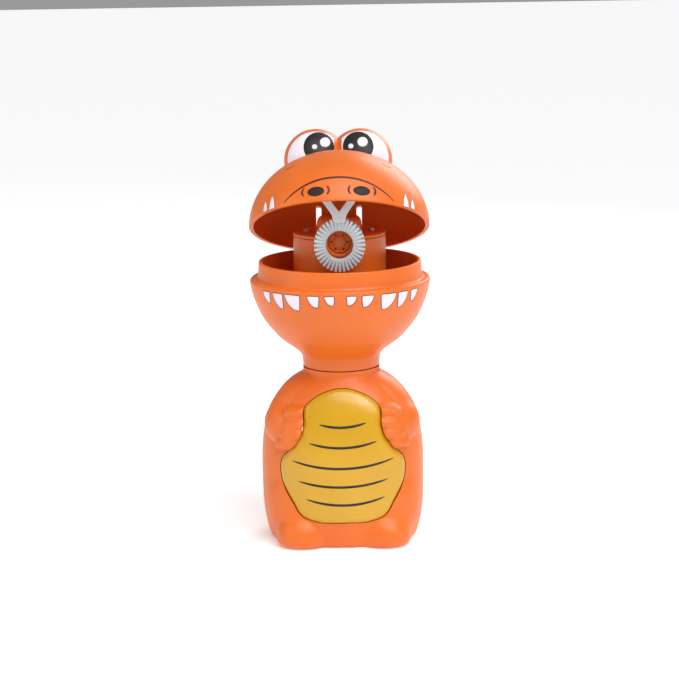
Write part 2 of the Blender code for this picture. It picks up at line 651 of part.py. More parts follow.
def fan():
    housing = across("fan_housing", FAN_AXIS, (-6.5, 6.5), 15.5, 32)
    cut(housing, across("fan_chamber", FAN_AXIS, (-5.2, 5.2), 14.2, 32))
    cut(housing, across("fan_intake", FAN_AXIS, (-9.0, 0.0), 6.0, 32))
    cut(housing, across("fan_shaft_hole", FAN_AXIS, (0.0, 9.0), AXLE_R + 0.3))
    cut(housing, rod("duct_socket", (0.0, DUCT_Y, FAN_Z), (0.0, DUCT_Y, 45.0), DUCT_R + GAP, segments=28))
    part(housing, "fan_housing", "inner_plastic")

    wheel = across("fan_impeller", FAN_AXIS, (3.2, 4.4), 12.4, 40)
    add(wheel, across("fan_hub", FAN_AXIS, (-4.2, 4.0), 2.8))
    for number in range(8):
        blade = block("fan_blade", (-4.2, 3.6), (2.0, 12.4), (-0.5, 0.5))
        turn = Matrix.Rotation(2.0 * math.pi * number / 8.0, 4, "X")
        blade.matrix_world = Matrix.Translation(Vector((0.0, FAN_Y, FAN_Z)) * MM) @ turn
        add(wheel, blade)
    cut(wheel, across("hub_bore", FAN_AXIS, (-10.0, 10.0), AXLE_R + 0.12))
    part(wheel, "fan_impeller", "white_plastic")
    shaft = across("fan_shaft", FAN_AXIS, (-4.0, OUTER_PLATE_X[1] - 0.1), AXLE_R)
    part(shaft, "fan_shaft", "steel")
    hang(pivot("fan_axis", *FAN_AXIS), wheel, shaft, bpy.data.objects["fan_pinion"])

    duct = rod("air_duct", (0.0, DUCT_Y, 34.6), (0.0, DUCT_Y, 80.2), DUCT_R, segments=28)
    cut(duct, rod("duct_bore", (0.0, DUCT_Y, 30.0), (0.0, DUCT_Y, 90.0), DUCT_R - 1.0, segments=28))
    part(duct, "air_duct", "white_plastic")


# ---- head -------------------------------------------------------------------------------------------

def jaw_bowl():
    profile = (
        (0.0, 80.5), (19.0, 80.5), (20.6, 81.2), (23.0, 82.8), (25.4, 84.9), (27.4, 87.2), (29.2, 89.8),
        (30.4, 92.6), (30.8, 95.5), (30.8, 112.2), (32.3, 112.2), (32.8, LIP_Z), (35.9, LIP_Z),
        (35.9, 104.0), (34.0, 96.7), (31.9, 91.8), (30.6, 89.4), (28.8, 86.9), (26.8, 84.5),
        (24.6, 82.0), (21.6, 79.6), (18.2, 77.1), (15.9, 74.7), (15.4, 72.2), (15.3, 70.9),
        (13.6, 70.9), (13.6, 67.0), (12.6, 67.0), (12.6, 79.0), (0.0, 79.0),
    )
    bowl = turned("jaw_bowl", profile)
    lug = block("bowl_lug", (-7.6, 7.6), (32.6, HINGE_Y + 0.5), (100.8, 105.3))
    add(bowl, lug, across("bowl_knuckle", (HINGE_Y, HINGE_Z), (-7.6, 7.6), KNUCKLE_R, 32))
    cut(bowl, across("hinge_bore", (HINGE_Y, HINGE_Z), (-20.0, 20.0), PIN_R + 0.12))
    cut(bowl, block("rim_notch", (-5.0, 5.0), (24.0, 33.6), (LIP_Z, 120.0)))
    cut(bowl, rod("duct_hole", (0.0, DUCT_Y, 70.0), (0.0, DUCT_Y, 90.0), DUCT_R + GAP, segments=28))
    cut(bowl, rod("rod_hole", (0.0, ROD_Y, 70.0), (0.0, ROD_Y, 90.0), ROD_R + 0.2))
    part(bowl, "jaw_bowl", "orange_plastic")
    gasket = ((15.0, 70.65), (15.0, 69.85), (13.95, 69.85), (13.95, 70.65))
    part(turned("neck_gasket", gasket, steps=32), "neck_gasket", "rubber")


def tower():
    profile = (
        (18.5, TOWER_TOP), (18.5, 98.0), (16.0, 90.0), (13.4, 84.2), (12.4, 82.1), (11.0, 82.1),
        (11.9, 84.6), (14.5, 90.4), (17.0, 98.3), (17.0, TOWER_TOP),
    )
    column = turned("air_tower", profile, TOWER_Y, 40)
    nozzle_hole = rod("nozzle_hole", (0.0, -30.0, NOZZLE_Z), (0.0, 0.0, NOZZLE_Z), 6.3, segments=28)
    tower_screws = ((-13.0, 7.5), (13.0, 7.5))
    box = block("rod_box", (-2.9, 2.9), (24.8, 30.0), (92.8, 104.4))
    add(column, box)
    for x, y in tower_screws:
        side = math.copysign(1.0, x)
        reach = sorted((side * 10.6, side * 17.8))
        add(column, block("lid_boss", reach, (y - 2.4, y + 2.4), (112.0, TOWER_TOP)))
        cut(column, rod("lid_screw_hole", (x, y, 113.5), (x, y, 130.0), 1.05))
    slot_low = block("rod_slot", (-1.7, 1.7), (22.0, 27.0), (93.6, 104.0))
    cut(column, block("box_inside", (-2.1, 2.1), (26.25, 29.2), (93.6, 105.0)), slot_low, nozzle_hole)
    part(column, "air_tower", "orange_plastic")

    lid = turned("tower_lid", ((0.0, 122.8), (18.5, 122.8), (18.5, TOWER_TOP + GAP), (0.0, TOWER_TOP + GAP)),
                 TOWER_Y, 40)
    head = rod("nozzle_head", (0.0, 0.0, 121.8), (0.0, 0.0, 128.6), 9.0, segments=28)
    add(lid, head, rod("nozzle_crown", (0.0, 0.0, 128.5), (0.0, 0.0, 130.0), 9.0, 7.2, segments=28))
    cut(lid, rod("head_hollow", (0.0, 0.6, 110.0), (0.0, 0.6, 128.4), 7.4, segments=28), nozzle_hole)
    for number, (x, y) in enumerate(tower_screws, 1):
        cut(lid, rod("lid_hole", (x, y, 110.0), (x, y, 130.0), 1.05))
        screw("tower_screw_%d" % number, (x, y, 122.9), (0.0, 0.0, -1.0), 6.0, 1.9, 0.9, 1.0)
    part(lid, "tower_lid", "orange_plastic")
    tube = rod("air_nozzle", (0.0, NOZZLE_TIP_Y, NOZZLE_Z), (0.0, -2.0, NOZZLE_Z), 6.0, segments=28)
    cut(tube, rod("nozzle_bore", (0.0, -20.0, NOZZLE_Z), (0.0, 0.0, NOZZLE_Z), 4.6, segments=28))
    part(tube, "air_nozzle", "orange_plastic")
    gasket = ((12.3, 81.8), (12.3, 80.8), (11.3, 80.8), (11.3, 81.8))
    part(turned("tower_gasket", gasket, TOWER_Y, 32), "tower_gasket", "rubber")


def dome_profile(radius, height, bottom, steps=10):
    """Half an ellipse about the head's centre, from its crown down to the given depth below the edge."""
    points = [(0.0, JAW_Z + height)]
    for step in range(1, steps + 1):
        angle = math.pi / 2.0 * step / steps
        points.append((radius * math.sin(angle), JAW_Z + height * math.cos(angle)))
    if bottom < JAW_Z:
        points.append((radius, bottom))
    points.append((0.0, bottom))
    return tuple(points)


def upper_jaw(hinge):
    """The dome, its eyes, its push tab and its knuckles, drawn with the jaw shut."""
    dome = turned("upper_jaw", dome_profile(HEAD_R, DOME_HEIGHT, JAW_Z))
    inside = turned("dome_inside", dome_profile(HEAD_R - DOME_WALL, DOME_HEIGHT - DOME_WALL, JAW_Z - 6.0))
    centre = (EYE["x"], EYE["y"], EYE["z"])
    brow = turned("brow", dome_profile(HEAD_R - 0.5, DOME_HEIGHT - 0.5, JAW_Z))
    brow_clear = turned("brow_clear", dome_profile(HEAD_R - 0.2, DOME_HEIGHT - 0.2, JAW_Z))
    pieces = [dome, inside, brow, brow_clear]
    for side in (-1, 1):
        spot = (side * centre[0], centre[1], centre[2])
        bulge = ball("eye_bulge", spot, (EYE["r"],) * 3, 24)
        add(dome, bulge)
        pieces.append(bulge)
    for side in (-1, 1):
        ends = sorted((side * 8.0, side * 12.5))
        arm = block("jaw_arm", ends, (30.0, HINGE_Y), (JAW_Z + 0.3, 110.4))
        knuckle = across("jaw_knuckle", (HINGE_Y, HINGE_Z), ends, KNUCKLE_R, 32)
        add(dome, arm, knuckle)
        pieces += [arm, knuckle]
    cut(dome, inside)
    for side in (-1, 1):
        spot = (side * centre[0], centre[1], centre[2])
        hollow = ball("eye_hollow", spot, (EYE["r"] - 3.2,) * 3, 16)
        seat = ball("eye_seat", spot, (EYE["r"] + 1.0,) * 3, 16)
        core = ball("eye_core", spot, (EYE["r"] - 1.6,) * 3, 16)
        reach = rod("eye_reach", (spot[0], -20.0, spot[2] - 2.0), (spot[0], spot[1] - 4.0, spot[2] - 2.0),
                    EYE["cap_r"] + 0.2, segments=28)
        side_box = block("eye_side", sorted((side * 1.0, side * 40.0)), (-40.0, 40.0), (90.0, 160.0))
        keep(seat, reach, side_box)
        cut(seat, core, brow)
        cut(dome, hollow, seat)
        cap = ball("eye", spot, (EYE["r"],) * 3, 24)
        keep(cap, rod("cap_reach", (spot[0], -20.0, spot[2] - 2.0), (spot[0], spot[1] - 4.3, spot[2] - 2.0),
                      EYE["cap_r"], segments=28))
        keep(cap, block("cap_side", sorted((side * 1.3, side * 40.0)), (-40.0, 40.0), (90.0, 160.0)))
        cut(cap, ball("cap_core", spot, (EYE["r"] - 1.3,) * 3, 16), brow_clear)
        name = "right_eye" if side > 0 else "left_eye"
        part(cap, name, "white_plastic")
        pieces += [hollow, seat, core, reach, side_box, cap]
        pieces += [step.object for step in cap.modifiers if step.object is not brow_clear]
    tab = block("jaw_tab", (-3.5, 3.5), (-TAB_REACH, -9.0), (TAB_RISE, TAB_RISE + TAB_THICK))
    tab.matrix_world = Matrix.Translation(Vector((0.0, HINGE_Y, HINGE_Z)) * MM) @ Matrix.Rotation(
        JAW_OPEN / 2.0, 4, "X")
    add(dome, tab)
    slots = [block("jaw_slot", sorted((side * 7.2, side * 9.4)), (20.0, 40.0), (JAW_Z + 8.0, JAW_Z + 17.0))
             for side in (-1, 1)]
    bore = across("jaw_bore", (HINGE_Y, HINGE_Z), (-20.0, 20.0), PIN_R + 0.12)
    cut(dome, bore, *slots)
    pieces += [tab, bore] + slots
    part(dome, "upper_jaw", "orange_plastic")
    open_turn = Matrix.Translation(hinge.location) @ Matrix.Rotation(-JAW_OPEN, 4, "X") @ Matrix.Translation(
        -hinge.location)
    for thing in pieces:
        thing.matrix_world = open_turn @ thing.matrix_basis
    hang(hinge, dome, bpy.data.objects["left_eye"], bpy.data.objects["right_eye"])
    boss = rod("wand_boss", (0.0, STEM_Y[0] - 0.6, WAND_SCREW_Z), (0.0, -25.5, WAND_SCREW_Z), 2.6)
    trim = turned("wand_boss_trim", dome_profile(HEAD_R - 0.6, DOME_HEIGHT - 0.6, JAW_Z))
    trim.matrix_world = open_turn @ trim.matrix_basis
    keep(boss, trim)
    add(dome, boss)
    cut(dome, rod("wand_screw_hole", (0.0, -10.0, WAND_SCREW_Z), (0.0, -22.0, WAND_SCREW_Z), 1.0))
    return open_turn


def wand(open_turn, hinge):
    """The ring that holds the soap film, on a stem that forks where it meets the dome."""
    ring = rod("bubble_wand", (0.0, RING_Y - 2.2, RING_Z), (0.0, RING_Y + 2.2, RING_Z), RING_R, segments=48)
    stem = slab("wand_stem", (
        (-2.4, RING_Z + 8.0), (2.4, RING_Z + 8.0), (2.6, 132.5), (7.1, 139.0), (7.1, 153.0),
        (-7.1, 153.0), (-7.1, 139.0), (-2.6, 132.5),
    ), *STEM_Y)
    inset = DOME_WALL + GAP
    dome_inside = turned("wand_trim", dome_profile(HEAD_R - inset, DOME_HEIGHT - inset, JAW_Z))
    dome_inside.matrix_world = open_turn @ dome_inside.matrix_basis
    add(ring, stem)
    trim_box = block("wand_low_zone", (-20, 20), (-30, 0), (100, 138))
    add(dome_inside, trim_box)
    keep(ring, dome_inside)
    cut(ring, rod("ring_hole", (0.0, -30.0, RING_Z), (0.0, -5.0, RING_Z), RING_HOLE_R, segments=48))
    window = slab("stem_window", (
        (0.0, 134.2), (3.9, 139.6), (3.9, 143.2), (-3.9, 143.2), (-3.9, 139.6),
    ), -25.0, -10.0)
    cut(ring, window, rod("stem_hole", (0.0, -30.0, WAND_SCREW_Z), (0.0, -5.0, WAND_SCREW_Z), 1.05))
    part(ring, "bubble_wand", "white_plastic")
    seat = (0.0, STEM_Y[1] + 0.1, WAND_SCREW_Z)
    fastener = screw("wand_screw", seat, (0.0, -1.0, 0.0), 5.4, 1.9, 0.9, 1.0)
    hang(hinge, ring, fastener)


def head():
    jaw_bowl()
    tower()
    hinge = pivot("jaw_hinge", HINGE_Y, HINGE_Z)
    open_turn = upper_jaw(hinge)
    wand(open_turn, hinge)
    part(across("hinge_pin", (HINGE_Y, HINGE_Z), (-12.6, 12.6), PIN_R), "jaw_hinge_pin", "steel")


body_shells()
body_screws()
belly_plate()
lever()
lift_rod()
gear_train()
fan()
head()
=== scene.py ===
"""Looks for a hand-pressed bubble toy: shells, prints, eyes, ribbed wand, finishes, light and camera."""

import json
import math

import bmesh
import bpy
from mathutils import Matrix, Vector


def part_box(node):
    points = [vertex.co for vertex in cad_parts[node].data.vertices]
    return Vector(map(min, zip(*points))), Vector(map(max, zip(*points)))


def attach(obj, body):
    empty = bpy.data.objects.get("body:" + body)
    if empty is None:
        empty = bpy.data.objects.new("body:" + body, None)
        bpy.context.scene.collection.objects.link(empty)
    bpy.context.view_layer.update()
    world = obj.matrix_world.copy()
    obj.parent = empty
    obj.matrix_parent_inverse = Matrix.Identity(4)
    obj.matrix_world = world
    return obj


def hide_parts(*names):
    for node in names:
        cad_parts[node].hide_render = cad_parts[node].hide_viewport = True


bl_info = {
    "name": "Croc bubble toy",
    "version": (1, 0, 0),
    "blender": (4, 5, 0),
    "location": "View3D > Sidebar > Bubble toy",
    "description": "Models the visible pieces and finishes of a press-to-blow bubble toy",
    "category": "Add Mesh",
}

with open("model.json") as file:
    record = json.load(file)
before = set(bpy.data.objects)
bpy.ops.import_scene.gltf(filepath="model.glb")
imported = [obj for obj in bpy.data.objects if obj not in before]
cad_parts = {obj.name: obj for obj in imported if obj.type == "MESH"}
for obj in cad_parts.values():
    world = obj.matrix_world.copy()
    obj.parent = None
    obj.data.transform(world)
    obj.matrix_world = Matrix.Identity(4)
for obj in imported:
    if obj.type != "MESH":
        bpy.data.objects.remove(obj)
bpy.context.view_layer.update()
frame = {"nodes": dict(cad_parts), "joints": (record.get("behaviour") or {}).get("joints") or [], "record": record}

MM = 0.001
JAW_JOINT = next(joint for joint in frame["joints"] if joint["name"] == "jaw_hinge")
HINGE = Vector(JAW_JOINT["pos_m"]) / MM
JAW_OPEN = math.radians(JAW_JOINT["range_deg"][1])
OPEN_TURN = Matrix.Translation(HINGE) @ Matrix.Rotation(-JAW_OPEN, 4, "X") @ Matrix.Translation(-HINGE)


def node_limit(node, side, axis):
    """One limit of a node's box in millimetres: side 0 is low and 1 is high."""
    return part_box(node)[side][axis] / MM


HEAD_R = node_limit("jaw_bowl", 1, 0)
RIM_TOP = node_limit("jaw_bowl", 1, 2)
LIP_Z = RIM_TOP - 6.7
JAW_Z = LIP_Z + 0.3
DOME_HEIGHT = 30.0
DOME_WALL = 1.8
NECK_TOP = node_limit("body_front_shell", 1, 2)
PARTING_Y = node_limit("body_front_shell", 1, 1)
WALL = 2.0
RING_Z = node_limit("bubble_wand", 0, 2) + 10.0
RING_Y = -16.2
STEM_FRONT_Y = -18.6
STEM_BACK_Y = -16.2
WAND_SCREW_Z = 147.0
TOWER_Y = 7.5
TOWER_TOP = node_limit("air_tower", 1, 2)
NOZZLE_TIP_Y = node_limit("air_nozzle", 0, 1)
NOZZLE_Z = (node_limit("air_nozzle", 0, 2) + node_limit("air_nozzle", 1, 2)) / 2.0
DUCT_Y = 2.5
ROD_Y = 10.5
CAMERA_LIFT = math.radians(11.5)
VIEW_RIGHT = Vector((1.0, 0.0, 0.0))
VIEW_UP = Vector((0.0, math.sin(CAMERA_LIFT), math.cos(CAMERA_LIFT)))
VIEW_BACK = Vector((0.0, -math.cos(CAMERA_LIFT), math.sin(CAMERA_LIFT)))

# height: half width, depth in front, depth behind
BODY_STATIONS = (
    (0.0, 26.4, 22.6, 21.0), (1.2, 27.8, 23.9, 22.4), (7.0, 29.5, 25.0, 24.0),
    (14.0, 30.5, 25.5, 25.2), (30.0, 31.3, 25.2, 25.4), (45.0, 30.6, 23.6, 23.8),
    (52.6, 29.2, 22.2, 22.2), (57.5, 26.4, 20.6, 20.4), (62.4, 22.6, 18.2, 18.0),
    (65.2, 19.2, 16.6, 16.6), (67.4, 15.6, 15.4, 15.4), (NECK_TOP, 15.3, 15.3, 15.3),
)
BODY_SQUARENESS = 2.35
# height: half width of the belly plate
PLATE_OUTLINE = (
    (11.0, 8.6), (12.6, 15.4), (18.5, 19.8), (25.0, 23.3), (31.0, 24.6), (36.0, 23.9),
    (39.5, 21.0), (42.5, 18.5), (46.0, 16.4), (50.5, 15.2), (56.0, 15.0), (58.8, 12.4), (61.6, 8.0),
    (63.5, 2.4),
)
PLATE_PROUD = 0.8
EDGE_ROUND = 0.9
BODY_SCREWS = ((-25.5, 16.0, 9.0), (25.5, 16.0, 9.0), (-17.0, 60.0, 8.0), (17.0, 60.0, 8.0))
# height: radius of the bowl's outside
BOWL_OUTLINE = (
    (70.9, 15.3), (72.2, 15.4), (74.7, 15.9), (77.1, 18.2), (79.6, 21.6), (82.0, 24.6), (84.5, 26.8),
    (86.9, 28.8), (89.4, 30.6), (91.8, 31.9), (96.7, 34.0), (101.0, 35.3),
    (104.0, HEAD_R - 0.1), (LIP_Z, HEAD_R),
)
EYE_X, EYE_Y, EYE_Z, EYE_R = 9.0, 4.0, JAW_Z + 29.2, 12.8
EYE_CAP_R = 11.1
KNUCKLE_R = 3.4
LUG_HALF = 7.6
PIN_HOLE_R = 1.37
NOZZLE_HOLE_R = 6.15
TOWER_R = 18.5
LID_LOW, LID_TOP = 121.3, 122.8
# where each finger ends: half width and height
FINGERS = ((16.4, 55.0), (15.9, 50.6), (17.2, 46.2), (20.0, 42.2))
# printed belly stripes: height, left end, right end and sag
STRIPES = (
    (50.2, -9.0, 9.3, 0.9), (42.6, -13.2, 13.4, 1.3), (35.0, -20.0, 20.0, 1.9),
    (27.2, -17.6, 17.6, 1.5), (20.0, -14.6, 16.2, 1.6),
)
# printed teeth on one side: start and end in degrees from the front, and height
BOWL_TEETH = ((3.8, 10.1, 3.5), (13.5, 21.2, 4.4), (26.2, 37.3, 6.0), (39.0, 47.2, 5.9), (50.4, 57.0, 4.4))
JAW_TEETH = ((44.0, 49.0, 5.9), (51.0, 55.2, 4.7))
# eye side: middle of the iris, then across, up and radius of each highlight
EYE_MARKS = {
    -1: ((1.4, 4.6), (3.9, 6.5, 2.05), (-0.3, 4.6, 1.05)),
    1: ((-1.0, 4.6), (0.8, 6.4, 2.05), (-3.9, 4.7, 1.05)),
}
ON_CUT = 0.00001
ACROSS, ALONG = Vector((1.0, 0.0, 0.0)), Vector((0.0, 1.0, 0.0))


# ---- sizes and colours a user may change -------------------------------------------------------------

def colour_property(name, description, default):
    return bpy.props.FloatVectorProperty(name=name, description=description, subtype="COLOR", size=4,
                                         min=0.0, max=1.0, default=default)


def length_property(name, description, default):
    return bpy.props.FloatProperty(name=name, description=description, default=default * MM,
                                   subtype="DISTANCE", unit="LENGTH")


class BubbleToyColours(bpy.types.PropertyGroup):
    orange: colour_property("Orange", "Moulded skin of the head and body", (0.76, 0.150, 0.010, 1.0))
    yellow: colour_property("Yellow", "Glossy belly plate", (0.62, 0.335, 0.005, 1.0))
    line: colour_property("Line", "Printed smile, brackets and tooth outlines", (0.075, 0.006, 0.001, 1.0))
    tooth: colour_property("Tooth", "Printed teeth", (0.84, 0.73, 0.83, 1.0))
    wand: colour_property("Wand", "Ribbed ring and its stem", (0.66, 0.68, 0.70, 1.0))


class BubbleToySizes(bpy.types.PropertyGroup):
    print_lift: length_property("Print lift", "How far a print stands off its surface", 0.07)
    line_width: length_property("Line width", "Width of the printed smile", 0.8)
    arm_relief: length_property("Arm relief", "How far the arms stand out of the body", 2.6)
    foot_relief: length_property("Foot relief", "How far the feet stand out of the body", 6.2)
    rib_count: bpy.props.IntProperty(name="Ribs", description="Ribs round the wand ring", default=36, min=12)
    ring_radius: length_property("Ring radius", "Outer radius of the wand ring", 10.0)
    hole_radius: length_property("Hole radius", "Radius of the hole that holds the soap film", 5.3)


# ---- finishes ------------------------------------------------------------------------------------------

def shader_of(material):
    material.use_nodes = True
    return material.node_tree.nodes["Principled BSDF"]


def object_noise(tree, place, scale, detail):
    """A noise that stays fixed to the piece."""
    noise = tree.nodes.new("ShaderNodeTexNoise")
    noise.inputs["Scale"].default_value = scale
    noise.inputs["Detail"].default_value = detail
    tree.links.new(place.outputs["Object"], noise.inputs["Vector"])
    return noise


def vary_gloss(tree, shader, noise, low, high):
    """Let a noise move the roughness between two values."""
    gloss = tree.nodes.new("ShaderNodeMapRange")
    gloss.inputs["To Min"].default_value = low
    gloss.inputs["To Max"].default_value = high
    tree.links.new(noise.outputs["Fac"], gloss.inputs["Value"])
    tree.links.new(gloss.outputs["Result"], shader.inputs["Roughness"])


def raise_grain(tree, shader, noise, strength, height):
    """Let a noise lift the surface by a height in millimetres."""
    bump = tree.nodes.new("ShaderNodeBump")
    bump.inputs["Strength"].default_value = strength
    bump.inputs["Distance"].default_value = height * MM
    tree.links.new(noise.outputs["Fac"], bump.inputs["Height"])
    tree.links.new(bump.outputs["Normal"], shader.inputs["Normal"])


def moulded_plastic(name, colour, roughness, grain, mottle, subsurface=0.0, coat=0.0):
    """Injection-moulded plastic: a fine grain, faint flow mottling and uneven gloss."""
    existing = bpy.data.materials.get(name)
    if existing:
        return existing
    material = bpy.data.materials.new(name)
    shader = shader_of(material)
    tree = material.node_tree
    place = tree.nodes.new("ShaderNodeTexCoord")
    flow = object_noise(tree, place, 55.0, 3.0)
    tint = tree.nodes.new("ShaderNodeValToRGB")
    stops = zip(tint.color_ramp.elements, (0.35, 0.65), (1.0 - mottle, 1.0 + mottle))
    for stop, position, level in stops:
        stop.position = position
        stop.color = (*(min(channel * level, 1.0) for channel in colour[:3]), 1.0)
    tree.links.new(flow.outputs["Fac"], tint.inputs["Fac"])
    tree.links.new(tint.outputs["Color"], shader.inputs["Base Color"])
    vary_gloss(tree, shader, flow, roughness - 0.04, roughness + 0.05)
    raise_grain(tree, shader, object_noise(tree, place, 2600.0, 2.0), 0.35, grain)
    if subsurface:
        shader.inputs["Subsurface Weight"].default_value = subsurface
        shader.inputs["Subsurface Radius"].default_value = (1.0, 0.45, 0.25)
        shader.inputs["Subsurface Scale"].default_value = 2.0 * MM
    shader.inputs["Coat Weight"].default_value = coat
    shader.inputs["Coat Roughness"].default_value = 0.12
    return material


def printed_ink(name, colour, roughness):
    """Pad-printed ink: even colour with a slight thinning in patches."""
    return moulded_plastic(name, colour, roughness, 0.006, 0.03)


def clear_white(name, colour):
    """Milky, slightly translucent plastic for the wand."""
    material = moulded_plastic(name, colour, 0.34, 0.01, 0.03, 0.35)
    shader = shader_of(material)
    shader.inputs["Transmission Weight"].default_value = 0.12
    shader.inputs["IOR"].default_value = 1.48
    return material


def turned_steel(name):
    """Plated steel with fine drawing marks."""
    material = bpy.data.materials.new(name)
    shader = shader_of(material)
    tree = material.node_tree
    marks = object_noise(tree, tree.nodes.new("ShaderNodeTexCoord"), 1800.0, 4.0)
    vary_gloss(tree, shader, marks, 0.22, 0.42)
    raise_grain(tree, shader, marks, 0.2, 0.01)
    shader.inputs["Base Color"].default_value = (0.60, 0.60, 0.62, 1.0)
    shader.inputs["Metallic"].default_value = 1.0
    return material


def orange_plastic():
    colour = bpy.context.scene.bubble_toy_colours.orange
    return moulded_plastic("orange_moulded", colour, 0.42, 0.02, 0.035, 0.10, 0.04)


def yellow_plastic():
    colour = bpy.context.scene.bubble_toy_colours.yellow
    return moulded_plastic("yellow_gloss", colour, 0.24, 0.008, 0.04, 0.05, 0.35)


def tooth_ink():
    return printed_ink("tooth_ink", bpy.context.scene.bubble_toy_colours.tooth, 0.4)


def line_ink():
    return printed_ink("line_ink", bpy.context.scene.bubble_toy_colours.line, 0.4)


def fine_line_ink():
    return printed_ink("fine_line_ink", (0.22, 0.03, 0.008, 1.0), 0.45)


# ---- mesh tools, all in millimetres --------------------------------------------------------------------

def make_piece(name, bm, material=None, turn=None):
    """A mesh object from a bmesh in millimetres, with its place in its mesh."""
    if turn is not None:
        bmesh.ops.transform(bm, matrix=turn, verts=bm.verts)
    bmesh.ops.scale(bm, vec=(MM, MM, MM), verts=bm.verts)
    for face in bm.faces:
        face.smooth = True
    mesh = bpy.data.meshes.new(name)
    bm.to_mesh(mesh)
    bm.free()
    piece = bpy.data.objects.new(name, mesh)
    bpy.context.scene.collection.objects.link(piece)
    if material is not None:
        mesh.materials.append(material)
    return piece


def settle(piece, sharp=32.0):
    """Apply a piece's modifiers, drop the tools they used and set its shading."""
    tools = [step.object for step in piece.modifiers if step.type == "BOOLEAN"]
    graph = bpy.context.evaluated_depsgraph_get()
    graph.update()
    mesh = bpy.data.meshes.new_from_object(piece.evaluated_get(graph))
    piece.modifiers.clear()
    old = piece.data
    material = old.materials[0] if old.materials else None
    piece.data = mesh
    mesh.name = piece.name
    mesh.materials.clear()
    if material is not None:
        mesh.materials.append(material)
    bpy.data.meshes.remove(old)
    for tool in set(tools):
        bpy.data.objects.remove(tool)
    bm = bmesh.new()
    bm.from_mesh(mesh)
    bmesh.ops.remove_doubles(bm, verts=bm.verts, dist=0.0000005)
    bmesh.ops.dissolve_degenerate(bm, edges=bm.edges, dist=0.0000005)
    limit = math.radians(sharp)
    for face in bm.faces:
        face.smooth = True
        face.material_index = 0
    for edge in bm.edges:
        edge.smooth = len(edge.link_faces) == 2 and edge.calc_face_angle(0.0) < limit
    bm.to_mesh(mesh)
    bm.free()


def combine(piece, operation, tools):
    for tool in tools:
        tool.hide_render = True
        step = piece.modifiers.new(operation.lower(), "BOOLEAN")
        step.operation = operation
        step.solver = "EXACT"
        step.object = tool


def join(piece, *tools):
    combine(piece, "UNION", tools)


def cut(piece, *tools):
    combine(piece, "DIFFERENCE", tools)


def keep(piece, *tools):
    combine(piece, "INTERSECT", tools)


def add_wall(piece, thickness):
    """Give an open sheet a wall inwards from its outside."""
    wall = piece.modifiers.new("wall", "SOLIDIFY")
    wall.thickness = thickness * MM
    wall.offset = -1.0
    wall.use_even_offset = False


def bevel_edges(bm, edges, amount, segments=3):
    bmesh.ops.bevel(bm, geom=edges, offset=amount, segments=segments, profile=0.5, affect="EDGES",
                    material=-1)


def end_rims(bm):
    """The edges round the flat ends of a rod or a slab."""
    return [edge for edge in bm.edges if any(len(face.verts) > 4 for face in edge.link_faces)]


def slice_mesh(bm, spot, normal, **cleared):
    """Cut a mesh along a plane, and clear a side of it if one is named."""
    bmesh.ops.bisect_plane(bm, geom=bm.verts[:] + bm.edges[:] + bm.faces[:], dist=ON_CUT,
                           plane_co=spot, plane_no=normal, **cleared)


def absorb(bm, extra):
    """Move all of one bmesh into another."""
    mesh = bpy.data.meshes.new("extra")
    extra.to_mesh(mesh)
    extra.free()
    bm.from_mesh(mesh)
    bpy.data.meshes.remove(mesh)


def block_mesh(x, y, z, bevel=0.0):
    bm = bmesh.new()
    bmesh.ops.create_cube(bm, size=1.0)
    bmesh.ops.scale(bm, vec=(x[1] - x[0], y[1] - y[0], z[1] - z[0]), verts=bm.verts)
    bmesh.ops.translate(bm, vec=(sum(x) / 2.0, sum(y) / 2.0, sum(z) / 2.0), verts=bm.verts)
    if bevel:
        bevel_edges(bm, bm.edges, bevel)
    return bm


def rod_mesh(start, end, radius, segments=64, bevel=0.0):
    start = Vector(start)
    run = Vector(end) - start
    bm = bmesh.new()
    bmesh.ops.create_cone(bm, cap_ends=True, segments=segments, radius1=radius, radius2=radius,
                          depth=run.length)
    if bevel:
        bevel_edges(bm, end_rims(bm), bevel)
    turn = Vector((0.0, 0.0, 1.0)).rotation_difference(run).to_matrix().to_4x4()
    bmesh.ops.transform(bm, matrix=Matrix.Translation(start + run / 2.0) @ turn, verts=bm.verts)
    return bm


def soften(points, reach, steps=4, closed=False):
    """Round the corners of an outline with small curves."""
    result = []
    count = len(points)
    for index, point in enumerate(points):
        if not closed and index in (0, count - 1):
            result.append(point)
            continue
        here = Vector(point)
        before, after = Vector(points[index - 1]), Vector(points[(index + 1) % count])
        back, forth = before - here, after - here
        if back.length < 1e-6 or forth.length < 1e-6 or back.angle(forth) > math.radians(165.0):
            result.append(point)
            continue
        first = here + back.normalized() * min(reach, back.length * 0.45)
        last = here + forth.normalized() * min(reach, forth.length * 0.45)
        for step in range(steps + 1):
            t = step / steps
            spot = first * (1 - t) ** 2 + here * (2 * t * (1 - t)) + last * t ** 2
            result.append(tuple(spot))
    return result


def spin_profile(bm, profile, steps, closed):
    """Spin a line of radius and height pairs about the vertical axis."""
    points = [bm.verts.new((radius, 0.0, height)) for radius, height in profile]
    lines = [bm.edges.new(pair) for pair in zip(points, points[1:])]
    if closed:
        lines.append(bm.edges.new((points[-1], points[0])))
    bmesh.ops.spin(bm, geom=points + lines, axis=(0.0, 0.0, 1.0), cent=(0.0, 0.0, 0.0),
                   angle=2.0 * math.pi, steps=steps, use_merge=True)


def turned_mesh(profile, centre_y, steps):
    """A turned solid; a profile that stays clear of the axis closes on itself."""
    bm = bmesh.new()
    spin_profile(bm, profile, steps, profile[0][0] > 0.0 and profile[-1][0] > 0.0)
    bmesh.ops.remove_doubles(bm, verts=bm.verts, dist=0.0005)
    bmesh.ops.recalc_face_normals(bm, faces=bm.faces)
    bmesh.ops.translate(bm, vec=(0.0, centre_y, 0.0), verts=bm.verts)
    return bm


